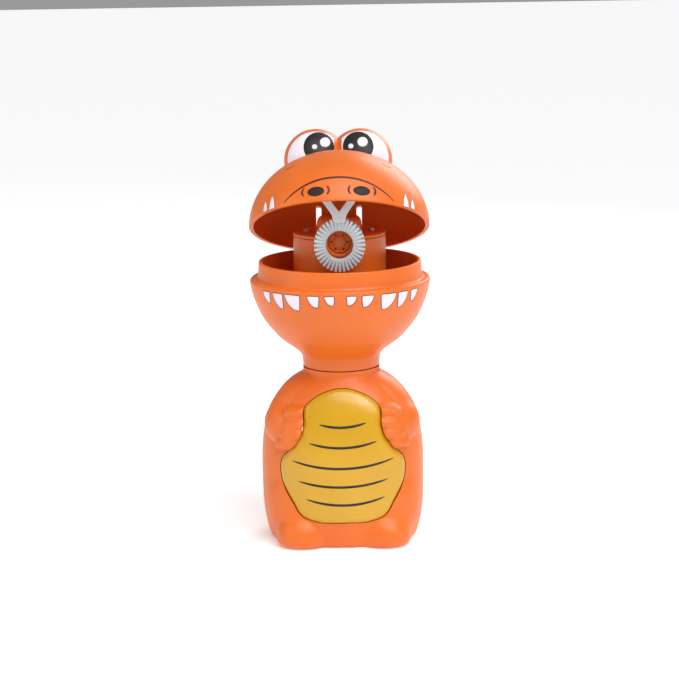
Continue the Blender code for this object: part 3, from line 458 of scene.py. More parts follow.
def slab_mesh(outline, low, high, bevel=0.0):
    """An outline in X and Z given thickness along Y."""
    bm = bmesh.new()
    face = bm.faces.new([bm.verts.new((u, low, v)) for u, v in outline])
    grown = bmesh.ops.extrude_face_region(bm, geom=[face])
    moved = [item for item in grown["geom"] if isinstance(item, bmesh.types.BMVert)]
    bmesh.ops.translate(bm, vec=(0.0, high - low, 0.0), verts=moved)
    bmesh.ops.recalc_face_normals(bm, faces=bm.faces)
    if bevel:
        bevel_edges(bm, end_rims(bm), bevel)
    return bm


def smooth_value(rows, at, column=1):
    """A smooth curve through a short table of places and values."""
    if at <= rows[0][0]:
        return rows[0][column]
    if at >= rows[-1][0]:
        return rows[-1][column]
    index = max(i for i, row in enumerate(rows[:-1]) if row[0] <= at)
    low, high = rows[index], rows[index + 1]
    span = high[0] - low[0]

    def slope(i):
        before, after = rows[max(i - 1, 0)], rows[min(i + 1, len(rows) - 1)]
        return (after[column] - before[column]) / (after[0] - before[0])

    t = (at - low[0]) / span
    start, end = slope(index) * span, slope(index + 1) * span
    return (
        (2 * t ** 3 - 3 * t ** 2 + 1) * low[column] + (t ** 3 - 2 * t ** 2 + t) * start
        + (3 * t ** 2 - 2 * t ** 3) * high[column] + (t ** 3 - t ** 2) * end
    )


# ---- prints that lie on a surface ------------------------------------------------------------------------

def stroke_outline(line, width, steps, blunt):
    """A pen stroke with tapering ends along a line given as a function of 0 to 1."""
    left, right = [], []
    for step in range(steps + 1):
        t = step / steps
        here = Vector(line(t))
        ahead = Vector(line(min(t + 0.01, 1.0))) - Vector(line(max(t - 0.01, 0.0)))
        side = Vector((-ahead.y, ahead.x)).normalized()
        half = width / 2.0 * max(blunt, (1.0 - abs(2.0 * t - 1.0) ** 4) ** 0.5)
        left.append(here + side * half)
        right.append(here - side * half)
    return [tuple(point) for point in left + right[::-1]]


def oval_outline(centre, radii, steps):
    turns = [2.0 * math.pi * step / steps for step in range(steps)]
    return [(centre[0] + radii[0] * math.cos(turn), centre[1] + radii[1] * math.sin(turn)) for turn in turns]


def grown_outline(outline, amount):
    """The outline moved outwards by an amount, corner by corner."""
    count = len(outline)
    area = sum(outline[i - 1][0] * outline[i][1] - outline[i][0] * outline[i - 1][1] for i in range(count))
    facing = math.copysign(1.0, area)
    result = []
    for index in range(count):
        ahead = Vector(outline[(index + 1) % count]) - Vector(outline[index - 1])
        side = Vector((ahead.y, -ahead.x)).normalized() * facing
        result.append(tuple(Vector(outline[index]) + side * amount))
    return result


def add_print(bm, outline, lift, surface, pitch, depth=0.16):
    """Lay an outline on a surface as a thin closed film; surface takes two places and a lift."""
    film = bmesh.new()
    face = film.faces.new([film.verts.new((u, v, 0.0)) for u, v in outline])
    if face.normal.z < 0.0:
        face.normal_flip()
    for axis, normal in enumerate((ACROSS, ALONG)):
        low = min(point[axis] for point in outline)
        high = max(point[axis] for point in outline)
        count = int((high - low) / pitch)
        for number in range(1, count + 1):
            slice_mesh(film, normal * (low + (high - low) * number / (count + 1)), normal)
    bmesh.ops.triangulate(film, faces=film.faces)
    grown = bmesh.ops.extrude_face_region(film, geom=film.faces[:])
    upper = {item for item in grown["geom"] if isinstance(item, bmesh.types.BMVert)}
    for vertex in film.verts:
        level = lift if vertex in upper else lift - depth
        vertex.co = surface(vertex.co.x, vertex.co.y, level)
    bmesh.ops.recalc_face_normals(film, faces=film.faces)
    absorb(bm, film)


def arc_to(degrees):
    """The length along the head's widest ring from the front to an angle."""
    return math.radians(degrees) * HEAD_R


def bowl_surface(arc, height, lift):
    """A point on the bowl's outside: arc length from the front at the head's radius, and height."""
    angle = arc / HEAD_R
    radius = smooth_value(BOWL_OUTLINE, height) + lift
    return Vector((radius * math.sin(angle), -radius * math.cos(angle), height))


def dome_surface(arc, rise, lift):
    """A point on the upper jaw's outside, turned to the open pose."""
    angle = arc / HEAD_R
    level = math.asin(min(max(rise / DOME_HEIGHT, 0.0), 1.0))
    normal = Vector((math.cos(level) / HEAD_R, 0.0, math.sin(level) / DOME_HEIGHT)).normalized()
    radius = HEAD_R * math.cos(level) + normal.x * lift
    height = JAW_Z + DOME_HEIGHT * math.sin(level) + normal.z * lift
    return OPEN_TURN @ Vector((radius * math.sin(angle), -radius * math.cos(angle), height))


def squareness(z):
    """The power of the body's outline at a height: squarish below, round at the neck."""
    round_off = min(max((z - 58.0) / 10.0, 0.0), 1.0)
    return BODY_SQUARENESS + (2.0 - BODY_SQUARENESS) * round_off


def body_ring(angle, z, inset=0.0):
    """A place on the body's outline at a height, with the half width and depth that shape it."""
    power = 2.0 / squareness(z)
    half = smooth_value(BODY_STATIONS, z, 1) - inset
    depth = smooth_value(BODY_STATIONS, z, 2 if angle < 0.0 else 3) - inset
    x = half * math.copysign(abs(math.cos(angle)) ** power, math.cos(angle))
    y = depth * math.copysign(abs(math.sin(angle)) ** power, math.sin(angle))
    return x, y, half, depth


def body_depth(x, z):
    """How far the body's front lies ahead of its middle plane."""
    power = squareness(z)
    half = smooth_value(BODY_STATIONS, z, 1)
    depth = smooth_value(BODY_STATIONS, z, 2)
    return depth * max(1.0 - min(abs(x) / half, 1.0) ** power, 0.0) ** (1.0 / power)


def plate_surface(x, z, lift):
    return Vector((x, -body_depth(x, z) - PLATE_PROUD - lift, z))


def eye_middle(side):
    return OPEN_TURN @ Vector((side * EYE_X, EYE_Y, EYE_Z))


def eye_surface(side):
    """Places on one eye, measured across and up as seen from the front."""
    middle = eye_middle(side)

    def place(u, v, lift):
        radius = EYE_R + lift
        out = math.sqrt(max(radius ** 2 - u ** 2 - v ** 2, 0.0))
        return middle + VIEW_RIGHT * u + VIEW_UP * v + VIEW_BACK * out

    return place


# ---- body ---------------------------------------------------------------------------------------------

def limb_push(point, path, reach, height, soft):
    """How far a limb that follows a path lifts the skin at a point."""
    nearest = 1e9
    for first, second in zip(path, path[1:]):
        start, run = Vector(first), Vector(second) - Vector(first)
        t = min(max((point - start).dot(run) / run.length_squared, 0.0), 1.0)
        nearest = min(nearest, (point - start - run * t).length)
    share = max(1.0 - (nearest / reach) ** 2, 0.0)
    return height * share ** soft


def skin_relief(point, sizes):
    """Arms, hands with four fingers, thighs and feet, as a push outwards."""
    here = Vector((abs(point.x), point.y, point.z))
    arm = sizes.arm_relief / MM
    foot = sizes.foot_relief / MM
    pushes = [
        # upper arm, then forearm and back of the hand
        limb_push(here, ((18.5, -6.0, 64.0), (25.0, -8.0, 57.0), (27.0, -11.0, 51.0)), 7.5, arm * 0.55, 0.9),
        limb_push(here, ((26.5, -12.0, 50.0), (22.0, -17.5, 48.0)), 7.6, arm, 0.6),
        # foot, shin, ankle and thigh
        limb_push(here, ((18.4, -20.0, 2.5), (18.6, -24.0, 2.0)), 10.5, foot, 1.0),
        limb_push(here, ((21.0, -17.0, 6.0), (23.5, -14.0, 17.0)), 10.5, 2.1, 0.9),
        limb_push(here, ((26.5, -6.0, 3.0), (28.0, -6.0, 16.0)), 12.0, 1.5, 1.2),
        limb_push(here, ((30.0, 0.0, 12.0), (31.0, 0.0, 34.0)), 20.0, 1.2, 1.2),
    ]
    for x, z in FINGERS:
        knuckle = (x + 3.8, -body_depth(x + 3.8, z), z - 0.4)
        tip = (x, -body_depth(x, z), z)
        pushes.append(limb_push(here, (knuckle, tip), 2.7, arm * 1.15, 0.55))
    strong = max(pushes)
    return strong + 0.25 * (sum(pushes) - strong)


def body_skin(sizes, rows=92, steps=200):
    """The body's outside as an open sheet, from the middle of its base up to the neck."""
    bm = bmesh.new()
    base = [(share, 0.0) for share in (0.0, 0.35, 0.7, 0.92, 0.975)]
    spin_profile(bm, base + [(1.0, NECK_TOP * row / rows) for row in range(1, rows + 1)], steps, False)
    bmesh.ops.remove_doubles(bm, verts=bm.verts, dist=0.0001)
    for vertex in bm.verts:
        share = math.hypot(vertex.co.x, vertex.co.y)
        z = vertex.co.z
        if share < 1e-6:
            continue
        x, y, half, depth = body_ring(math.atan2(vertex.co.y, vertex.co.x), z)
        out = Vector((x / half ** 2, y / depth ** 2, 0.0)).normalized()
        push = skin_relief(Vector((x, y, z)), sizes)
        if z < 0.4:
            push *= share ** 3
        vertex.co = Vector((x * share, y * share, z)) + out * push
    bmesh.ops.recalc_face_normals(bm, faces=bm.faces)
    return bm


def plate_line(grow, rows=64):
    """The belly plate's outline in X and Z, wider all round by an amount."""
    bottom, top = PLATE_OUTLINE[0][0], PLATE_OUTLINE[-1][0]
    right = []
    for row in range(rows + 1):
        z = bottom + (top - bottom) * row / rows
        right.append((max(smooth_value(PLATE_OUTLINE, z), 0.8), z))
    outline = right + [(-x, z) for x, z in reversed(right)]
    outline = soften(outline, 1.6, 3, True)
    return grown_outline(outline, grow) if grow else outline


def outline_gap(point, outline):
    """The distance from a point to the nearest side of an outline."""
    nearest = 1e9
    for index, end in enumerate(outline):
        start = Vector(outline[index - 1])
        run = Vector(end) - start
        t = min(max((point - start).dot(run) / max(run.length_squared, 1e-12), 0.0), 1.0)
        nearest = min(nearest, (point - start - run * t).length)
    return nearest


def half_shell(name, sizes, front):
    """One half of the body's skin, cut at the parting line and given its wall."""
    bm = body_skin(sizes)
    edge = PARTING_Y if front else PARTING_Y + 0.3
    slice_mesh(bm, (0.0, edge, 0.0), ALONG, clear_outer=front, clear_inner=not front)
    shell = make_piece(name, bm, orange_plastic())
    add_wall(shell, WALL)
    return shell


def screw_cutters():
    """The recesses that let a screwdriver reach the body screws."""
    for x, z, seat in BODY_SCREWS:
        yield make_piece("recess", rod_mesh((x, seat + 3.0, z), (x, 45.0, z), 2.8, 40))


def post_room(rows=40):
    """The room inside the body's skin, as a solid that trims the screw posts."""
    heights = [1.0 + (NECK_TOP - 1.0) * row / rows for row in range(rows + 1)]
    bm = turned_mesh([(0.0, 1.0)] + [(1.0, z) for z in heights] + [(0.0, NECK_TOP)], 0.0, 96)
    for vertex in bm.verts:
        if math.hypot(vertex.co.x, vertex.co.y) > 0.5:
            angle = math.atan2(vertex.co.y, vertex.co.x)
            vertex.co.xy = body_ring(angle, vertex.co.z, 0.6)[:2]
    return bm


# ---- operators -----------------------------------------------------------------------------------------

class BUBBLETOY_OT_body(bpy.types.Operator):
    """Model the two body shells with arms, hands and feet"""
    bl_idname = "bubbletoy.body"
    bl_label = "Body shells"

    def execute(self, context):
        sizes = context.scene.bubble_toy_sizes
        front = half_shell("body_front", sizes, True)
        cut(front, make_piece("opening", slab_mesh(plate_line(0.25), -45.0, -9.0)))
        settle(front)
        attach(front, "body")
        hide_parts("body_front_shell")

        back = half_shell("body_back", sizes, False)
        tail = bmesh.new()
        bmesh.ops.create_uvsphere(tail, u_segments=64, v_segments=32, radius=1.0)
        bmesh.ops.scale(tail, vec=(8.5, 9.5, 6.5), verts=tail.verts)
        bmesh.ops.translate(tail, vec=(0.0, 22.5, 5.0), verts=tail.verts)
        join(back, make_piece("tail", tail))
        cut(back, make_piece("ground", block_mesh((-60, 60), (-60, 60), (-30, 0))), *screw_cutters())
        for row in range(4):
            z = 22.0 + 5.0 * row
            cut(back, make_piece("slot", block_mesh((-20.0, -9.0), (15.0, 30.0), (z, z + 2.0), 0.7)))
        settle(back)
        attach(back, "body")
        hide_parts("body_back_shell")

        for number, (x, z, seat) in enumerate(BODY_SCREWS, 1):
            profile = ((3.7, 0.0), (3.7, 14.0), (2.75, 14.0), (2.75, 1.2), (1.5, 1.2), (1.5, 0.0))
            turn = Matrix.Translation((x, seat, z)) @ Matrix.Rotation(-math.pi / 2.0, 4, "X")
            post = make_piece("screw_post_%d" % number, turned_mesh(profile, 0.0, 48), orange_plastic(), turn)
            keep(post, make_piece("inside", post_room()))
            settle(post)
            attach(post, "body")
        return {"FINISHED"}


class BUBBLETOY_OT_plate(bpy.types.Operator):
    """Model the belly plate with its rounded edge, skirt and printed stripes"""
    bl_idname = "bubbletoy.plate"
    bl_label = "Belly plate"

    def execute(self, context):
        sizes = context.scene.bubble_toy_sizes
        outline = plate_line(0.0)
        bm = bmesh.new()
        bm.faces.new([bm.verts.new((x, z, 0.0)) for x, z in outline])
        for step in (0.12, 0.2, 0.3, 0.4):
            middle = max(bm.faces, key=lambda face: face.calc_area())
            bmesh.ops.inset_region(bm, faces=[middle], thickness=step, use_even_offset=True)
        for normal, low, high in ((ACROSS, -25, 26), (ALONG, 10, 65)):
            for spot in range(low, high):
                slice_mesh(bm, normal * (spot + 0.03), normal)
        for vertex in bm.verts:
            inset = min(outline_gap(vertex.co.xy, outline), EDGE_ROUND)
            drop = EDGE_ROUND - math.sqrt(EDGE_ROUND ** 2 - (EDGE_ROUND - inset) ** 2)
            vertex.co = plate_surface(vertex.co.x, vertex.co.y, -drop)
        bmesh.ops.recalc_face_normals(bm, faces=bm.faces)
        if sum(face.normal.y for face in bm.faces) > 0.0:
            bmesh.ops.reverse_faces(bm, faces=bm.faces)
        plate = make_piece("belly_plate_skin", bm, yellow_plastic())
        add_wall(plate, 2.0)
        settle(plate, 50.0)
        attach(plate, "plate")
        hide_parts("belly_plate")

        band = bmesh.new()
        front, rear = [], []
        for x, z in grown_outline(outline, -1.2):
            start = -body_depth(x, z) + 0.4
            # the skirt reaches furthest back at the sides and least at the top
            end = -8.0 if abs(x) > 19.0 else (-17.6 if z > 48.0 else -15.2)
            front.append(band.verts.new((x, start, z)))
            rear.append(band.verts.new((x, max(end, start + 0.5), z)))
        for i in range(len(front)):
            band.faces.new((front[i - 1], front[i], rear[i], rear[i - 1]))
        bmesh.ops.recalc_face_normals(band, faces=band.faces)
        skirt = make_piece("belly_plate_skirt", band, yellow_plastic())
        add_wall(skirt, 1.1)
        settle(skirt)
        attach(skirt, "plate")

        bm = bmesh.new()
        for height, left, right, sag in STRIPES:
            def stripe(t, height=height, left=left, right=right, sag=sag):
                share = 2.0 * t - 1.0
                return (left + (right - left) * t, height - sag + sag * 1.5 * share ** 2 + 0.25 * share)
            add_print(bm, stroke_outline(stripe, 0.95, 40, 0.18), sizes.print_lift / MM, plate_surface, 1.5)
        stripes = make_piece("belly_stripes", bm, printed_ink("black_ink", (0.008, 0.004, 0.004, 1.0), 0.5))
        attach(stripes, "plate")
        return {"FINISHED"}


def tooth_outline(start, end, top, height):
    """A tooth that hangs from its top edge: an upright inner side and a round outer side."""
    width = end - start
    points = [(start, top), (start + width * 0.04, top - height * 0.5), (start + width * 0.12, top - height)]
    tip = Vector(points[-1]) + Vector((width * 0.14, 0.0))
    corner = Vector((end, top))
    bend = Vector((start + width * 0.80, top - height * 0.92))
    for t in (step / 8.0 for step in range(9)):
        points.append(tuple(tip * (1 - t) ** 2 + bend * (2 * t * (1 - t)) + corner * t ** 2))
    return soften(points, 0.5, 3, True)


def spike_outline(start, end, height):
    """A tooth that points up from the jaw's edge."""
    width = end - start
    points = [(start, 0.25), (start + width * 0.12, height * 0.55), (start + width * 0.55, height),
              (start + width * 0.86, height * 0.5), (end, 0.25)]
    return soften(points, 0.7, 3, True)


def hinge_knuckle(low, high):
    return rod_mesh((low, HINGE.y, HINGE.z), (high, HINGE.y, HINGE.z), KNUCKLE_R, bevel=0.3)


def hinge_bore():
    return rod_mesh((-20, HINGE.y, HINGE.z), (20, HINGE.y, HINGE.z), PIN_HOLE_R, 32)


class BUBBLETOY_OT_bowl(bpy.types.Operator):
    """Model the lower bowl that holds the liquid, with its lug and printed teeth"""
    bl_idname = "bubbletoy.bowl"
    bl_label = "Lower bowl"

    def execute(self, context):
        inside = [(0.0, 80.5), (10.0, 80.5), (19.0, 80.5), (20.6, 81.2), (23.0, 82.8), (25.4, 84.9),
                  (27.4, 87.2), (29.2, 89.8), (30.3, 92.6), (30.8, 95.5)]
        rim = soften([(30.8, 97.0), (30.8, RIM_TOP), (32.2, RIM_TOP), (32.6, LIP_Z + 0.9),
                      (33.2, LIP_Z - 0.15), (35.2, LIP_Z), (HEAD_R - 0.1, LIP_Z - 0.7),
                      (HEAD_R - 0.1, LIP_Z - 1.5)], 0.45, 4)
        high, low, steps = 104.0, 70.4, 44
        heights = [high - (high - low) * i / steps for i in range(steps)]
        outside = [(smooth_value(BOWL_OUTLINE, z), z) for z in heights]
        neck = [(15.25, 70.1), (15.05, 69.95), (13.6, 69.95), (13.6, 67.0), (12.6, 67.0), (12.6, 79.0),
                (0.0, 79.0)]
        profile = inside + rim + outside + neck
        bowl = make_piece("lower_bowl", turned_mesh(profile, 0.0, 200), orange_plastic())
        lug = block_mesh((-LUG_HALF, LUG_HALF), (32.6, HINGE.y + 0.5), (LIP_Z - 4.7, LIP_Z - 0.2), 0.6)
        join(bowl, make_piece("lug", lug), make_piece("knuckle", hinge_knuckle(-LUG_HALF, LUG_HALF)))
        cut(bowl, make_piece("bore", hinge_bore()),
            make_piece("notch", block_mesh((-5.0, 5.0), (24.0, 33.4), (LIP_Z, 125.0))),
            make_piece("duct", rod_mesh((0, DUCT_Y, 70), (0, DUCT_Y, 90), 5.7)),
            make_piece("rod", rod_mesh((0, ROD_Y, 70), (0, ROD_Y, 90), 1.4, 32)))
        settle(bowl)
        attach(bowl, "body")
        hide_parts("jaw_bowl")

        lift = context.scene.bubble_toy_sizes.print_lift / MM
        white, dark = bmesh.new(), bmesh.new()
        for side in (-1, 1):
            for start, end, height in BOWL_TEETH:
                shape = tooth_outline(arc_to(start), arc_to(end), LIP_Z - 1.9, height)
                shape = [(side * u, v) for u, v in shape]
                add_print(white, shape, lift + 0.03, bowl_surface, 0.9)
                add_print(dark, grown_outline(shape, 0.27), lift, bowl_surface, 0.9)
        teeth = make_piece("bowl_teeth", white, tooth_ink())
        edges = make_piece("bowl_tooth_outlines", dark, line_ink())
        for piece in (teeth, edges):
            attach(piece, "body")
        return {"FINISHED"}


def dome_outline(inset, steps=44):
    """The jaw's dome from its edge to its crown, moved inwards by an amount."""
    radius, height = HEAD_R - inset, DOME_HEIGHT - inset
    climbs = [math.pi / 2.0 * i / steps for i in range(steps)]
    curve = [(radius * math.cos(climb), JAW_Z + height * math.sin(climb)) for climb in climbs]
    return curve + [(0.0, JAW_Z + height)]


def jaw_room(name, inset, steps=120):
    """The solid under the open jaw's dome, a little inside its outside, as a tool."""
    return make_piece(name, turned_mesh([(0.0, JAW_Z)] + dome_outline(inset), 0.0, steps), None, OPEN_TURN)


class BUBBLETOY_OT_jaw(bpy.types.Operator):
    """Model the upper jaw with its eye bulges, hinge arms and slots"""
    bl_idname = "bubbletoy.jaw"
    bl_label = "Upper jaw"

    def execute(self, context):
        outside, inside = dome_outline(0.0), dome_outline(DOME_WALL)
        edge = soften([outside[1], outside[0], inside[0], inside[1]], 0.35, 3)
        wall = outside[:1:-1] + edge + inside[2:]
        dome = make_piece("upper_jaw_dome", turned_mesh(wall, 0.0, 200), orange_plastic(), OPEN_TURN)
        for side in (-1, 1):
            bulge = bmesh.new()
            bmesh.ops.create_uvsphere(bulge, u_segments=120, v_segments=60, radius=EYE_R)
            bmesh.ops.translate(bulge, vec=(side * EYE_X, EYE_Y, EYE_Z), verts=bulge.verts)
            bump = make_piece("bulge", bulge, None, OPEN_TURN)
            cut(bump, jaw_room("core", DOME_WALL / 2.0, 160))
            settle(bump)
            join(dome, bump)
        for side in (-1, 1):
            ends = sorted((side * 7.2, side * 9.4))
            slot = block_mesh(ends, (20.0, 40.0), (JAW_Z + 8.0, JAW_Z + 17.0), 0.6)
            cut(dome, make_piece("slot", slot, None, OPEN_TURN))
        settle(dome)
        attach(dome, "jaw")
        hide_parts("upper_jaw")

        for side, name in ((-1, "left"), (1, "right")):
            ends = sorted((side * 8.0, side * 12.5))
            arm = make_piece(name + "_jaw_arm", block_mesh(ends, (33.0, HINGE.y), (JAW_Z + 0.4, 110.4), 0.5),
                             orange_plastic(), OPEN_TURN)
            join(arm, make_piece("knuckle", hinge_knuckle(*ends), None, OPEN_TURN))
            cut(arm, make_piece("bore", hinge_bore()))
            settle(arm)
            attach(arm, "jaw")
        tab_turn = OPEN_TURN @ Matrix.Translation(HINGE) @ Matrix.Rotation(JAW_OPEN / 2.0, 4, "X")
        tab = make_piece("jaw_lift_tab", block_mesh((-3.5, 3.5), (-16.6, -9.0), (2.0, 4.2), 0.4),
                         orange_plastic(), tab_turn)
        post = rod_mesh((0.0, STEM_FRONT_Y - 0.3, WAND_SCREW_Z), (0.0, -26.0, WAND_SCREW_Z), 2.6)
        boss = make_piece("wand_boss", post, orange_plastic())
        keep(boss, jaw_room("trim", 0.8))
        settle(boss)
        for piece in (tab, boss):
            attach(piece, "jaw")
        return {"FINISHED"}


class BUBBLETOY_OT_eyes(bpy.types.Operator):
    """Model the white eye caps with their irises and highlights"""
    bl_idname = "bubbletoy.eyes"
    bl_label = "Eyes"

    def execute(self, context):
        white = moulded_plastic("eye_white", (0.90, 0.84, 0.94, 1.0), 0.3, 0.004, 0.02, 0.1, 0.15)
        black = moulded_plastic("iris_black", (0.006, 0.004, 0.005, 1.0), 0.5, 0.004, 0.1)
        for side, name in ((-1, "left"), (1, "right")):
            surface = eye_surface(side)
            cap = bmesh.new()
            bmesh.ops.create_uvsphere(cap, u_segments=128, v_segments=64, radius=EYE_R + 0.12)
            turn = Vector((0.0, 0.0, 1.0)).rotation_difference(VIEW_BACK).to_matrix().to_4x4()
            bmesh.ops.transform(cap, matrix=Matrix.Translation(eye_middle(side)) @ turn, verts=cap.verts)
            reach = EYE_R * math.cos(math.asin(EYE_CAP_R / EYE_R))
            slice_mesh(cap, eye_middle(side) + VIEW_BACK * reach, -VIEW_BACK, clear_outer=True)
            slice_mesh(cap, ACROSS * side * 1.5, ACROSS * -side, clear_outer=True)
            eye = make_piece(name + "_eye_white", cap, white)
            add_wall(eye, 0.8)
            cut(eye, jaw_room("brow", 0.5))
            settle(eye, 60.0)
            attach(eye, "jaw")
            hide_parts(name + "_eye")
            middle, *glints = EYE_MARKS[side]
            iris = bmesh.new()
            add_print(iris, oval_outline(middle, (6.1, 6.3), 56), 0.17, surface, 0.8, 0.2)
            iris_piece = make_piece(name + "_iris", iris, black)
            shine = bmesh.new()
            for u, v, radius in glints:
                add_print(shine, oval_outline((u, v), (radius, radius), 36), 0.22, surface, 0.7, 0.2)
            shine_piece = make_piece(name + "_eye_glints", shine, white)
            for piece in (iris_piece, shine_piece):
                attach(piece, "jaw")
        return {"FINISHED"}


class BUBBLETOY_OT_face(bpy.types.Operator):
    """Print the smile, nostrils, brackets, eye strokes and side teeth on the upper jaw"""
    bl_idname = "bubbletoy.face"
    bl_label = "Face prints"

    def execute(self, context):
        sizes = context.scene.bubble_toy_sizes
        lift = sizes.print_lift / MM
        dark = bmesh.new()
        end = math.asin(21.3 / HEAD_R) * HEAD_R

        def smile(t):
            share = 2.0 * t - 1.0
            return (end * share, 1.2 + 8.5 * (1.0 - abs(share) ** 2.3))

        add_print(dark, stroke_outline(smile, sizes.line_width / MM, 70, 0.3), lift, dome_surface, 1.2)
        for side in (-1, 1):
            for middle, bow in ((4.2, -0.8), (14.2, 0.8)):
                def bracket(t, middle=middle, bow=bow, side=side):
                    share = 2.0 * t - 1.0
                    return (side * (middle + bow * (1.0 - share ** 2) - bow * 0.5), 4.2 + 1.75 * share)
                add_print(dark, stroke_outline(bracket, 0.75, 18, 0.4), lift, dome_surface, 0.9)
        lines = make_piece("face_lines", dark, line_ink())
        holes = bmesh.new()
        for side in (-1, 1):
            nostril = oval_outline((side * 9.0, 3.95), (3.35, 1.95), 44)
            add_print(holes, nostril, lift + 0.02, dome_surface, 0.9)
        nostrils = make_piece("nostrils", holes, printed_ink("nostril_ink", (0.013, 0.001, 0.0005, 1.0), 0.6))
        fine = bmesh.new()
        for side in (-1, 1):
            def under_eye(t, side=side):
                share = 2.0 * t - 1.0
                return (side * (26.0 + 2.4 * share), 18.5 - 0.9 * (1.0 - share ** 2) - 0.6 * share)
            add_print(fine, stroke_outline(under_eye, 0.32, 18, 0.3), lift, dome_surface, 0.9)
        strokes = make_piece("eye_strokes", fine, fine_line_ink())
        white, edge = bmesh.new(), bmesh.new()
        for side in (-1, 1):
            for start, stop, height in JAW_TEETH:
                shape = spike_outline(arc_to(start), arc_to(stop), height)
                shape = [(side * u, v) for u, v in shape]
                border = [(u, max(v, 0.12)) for u, v in grown_outline(shape, 0.17)]
                add_print(white, shape, lift + 0.03, dome_surface, 0.8)
                add_print(edge, border, lift, dome_surface, 0.8)
        teeth = make_piece("jaw_teeth", white, tooth_ink())
        edges = make_piece("jaw_tooth_outlines", edge, fine_line_ink())
        for piece in (lines, nostrils, strokes, teeth, edges):
            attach(piece, "jaw")
        return {"FINISHED"}


class BUBBLETOY_OT_wand(bpy.types.Operator):
    """Model the ribbed ring that holds the soap film, and its forked stem"""
    bl_idname = "bubbletoy.wand"
    bl_label = "Bubble wand"

    def execute(self, context):
        sizes = context.scene.bubble_toy_sizes
        outer, hole = sizes.ring_radius / MM, sizes.hole_radius / MM
        profile = soften([(hole, -2.0), (hole + 1.2, -2.2), (outer - 0.8, -1.3), (outer - 0.8, 1.3),
                          (hole + 1.2, 2.2), (hole, 2.0)], 0.4, 3, True)
        turn = Matrix.Translation((0.0, RING_Y, RING_Z)) @ Matrix.Rotation(math.pi / 2.0, 4, "X")
        turn = turn @ Matrix.Diagonal((1.0, 1.06, 1.0, 1.0))
        bm = turned_mesh(profile, 0.0, 144)
        middle = (hole + outer) / 2.0 + 0.1
        for number in range(sizes.rib_count):
            rib = block_mesh((hole + 0.25, outer), (-0.56, 0.56), (-2.3, 2.3))
            for vertex in rib.verts:
                if vertex.co.x < middle:
                    vertex.co.y *= 0.6
            bevel_edges(rib, rib.edges, 0.3, 2)
            bmesh.ops.rotate(rib, cent=(0, 0, 0), verts=rib.verts,
                             matrix=Matrix.Rotation(2.0 * math.pi * number / sizes.rib_count, 3, "Z"))
            absorb(bm, rib)
        milky = clear_white("wand_milky", context.scene.bubble_toy_colours.wand)
        ring = make_piece("wand_ring", bm, milky, turn)
        settle(ring, 40.0)
        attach(ring, "jaw")
        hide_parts("bubble_wand")
        base = RING_Z + outer - 1.2
        outline = soften([(-2.5, base), (2.5, base), (2.7, 132.6), (7.1, 139.0), (7.1, 153.0), (-7.1, 153.0),
                          (-7.1, 139.0), (-2.7, 132.6)], 1.2, 4, True)
        window = soften([(0.0, 133.9), (4.1, 139.4), (4.1, 143.2), (-4.1, 143.2), (-4.1, 139.4)],
                        0.6, 3, True)
        stem = make_piece("wand_stem", slab_mesh(outline, STEM_FRONT_Y, STEM_BACK_Y, 0.3), milky)
        room = turned_mesh([(0.0, 80.0), (HEAD_R - 2.1, 80.0)] + dome_outline(2.1), 0.0, 120)
        keep(stem, make_piece("room", room, None, OPEN_TURN))
        cut(stem, make_piece("window", slab_mesh(window, -25.0, -10.0)),
            make_piece("hole", rod_mesh((0, -30, WAND_SCREW_Z), (0, 0, WAND_SCREW_Z), 1.05, 32)))
        settle(stem)
        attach(stem, "jaw")
        return {"FINISHED"}


def nozzle_hole():
    return rod_mesh((0, -30, NOZZLE_Z), (0, 0, NOZZLE_Z), NOZZLE_HOLE_R)


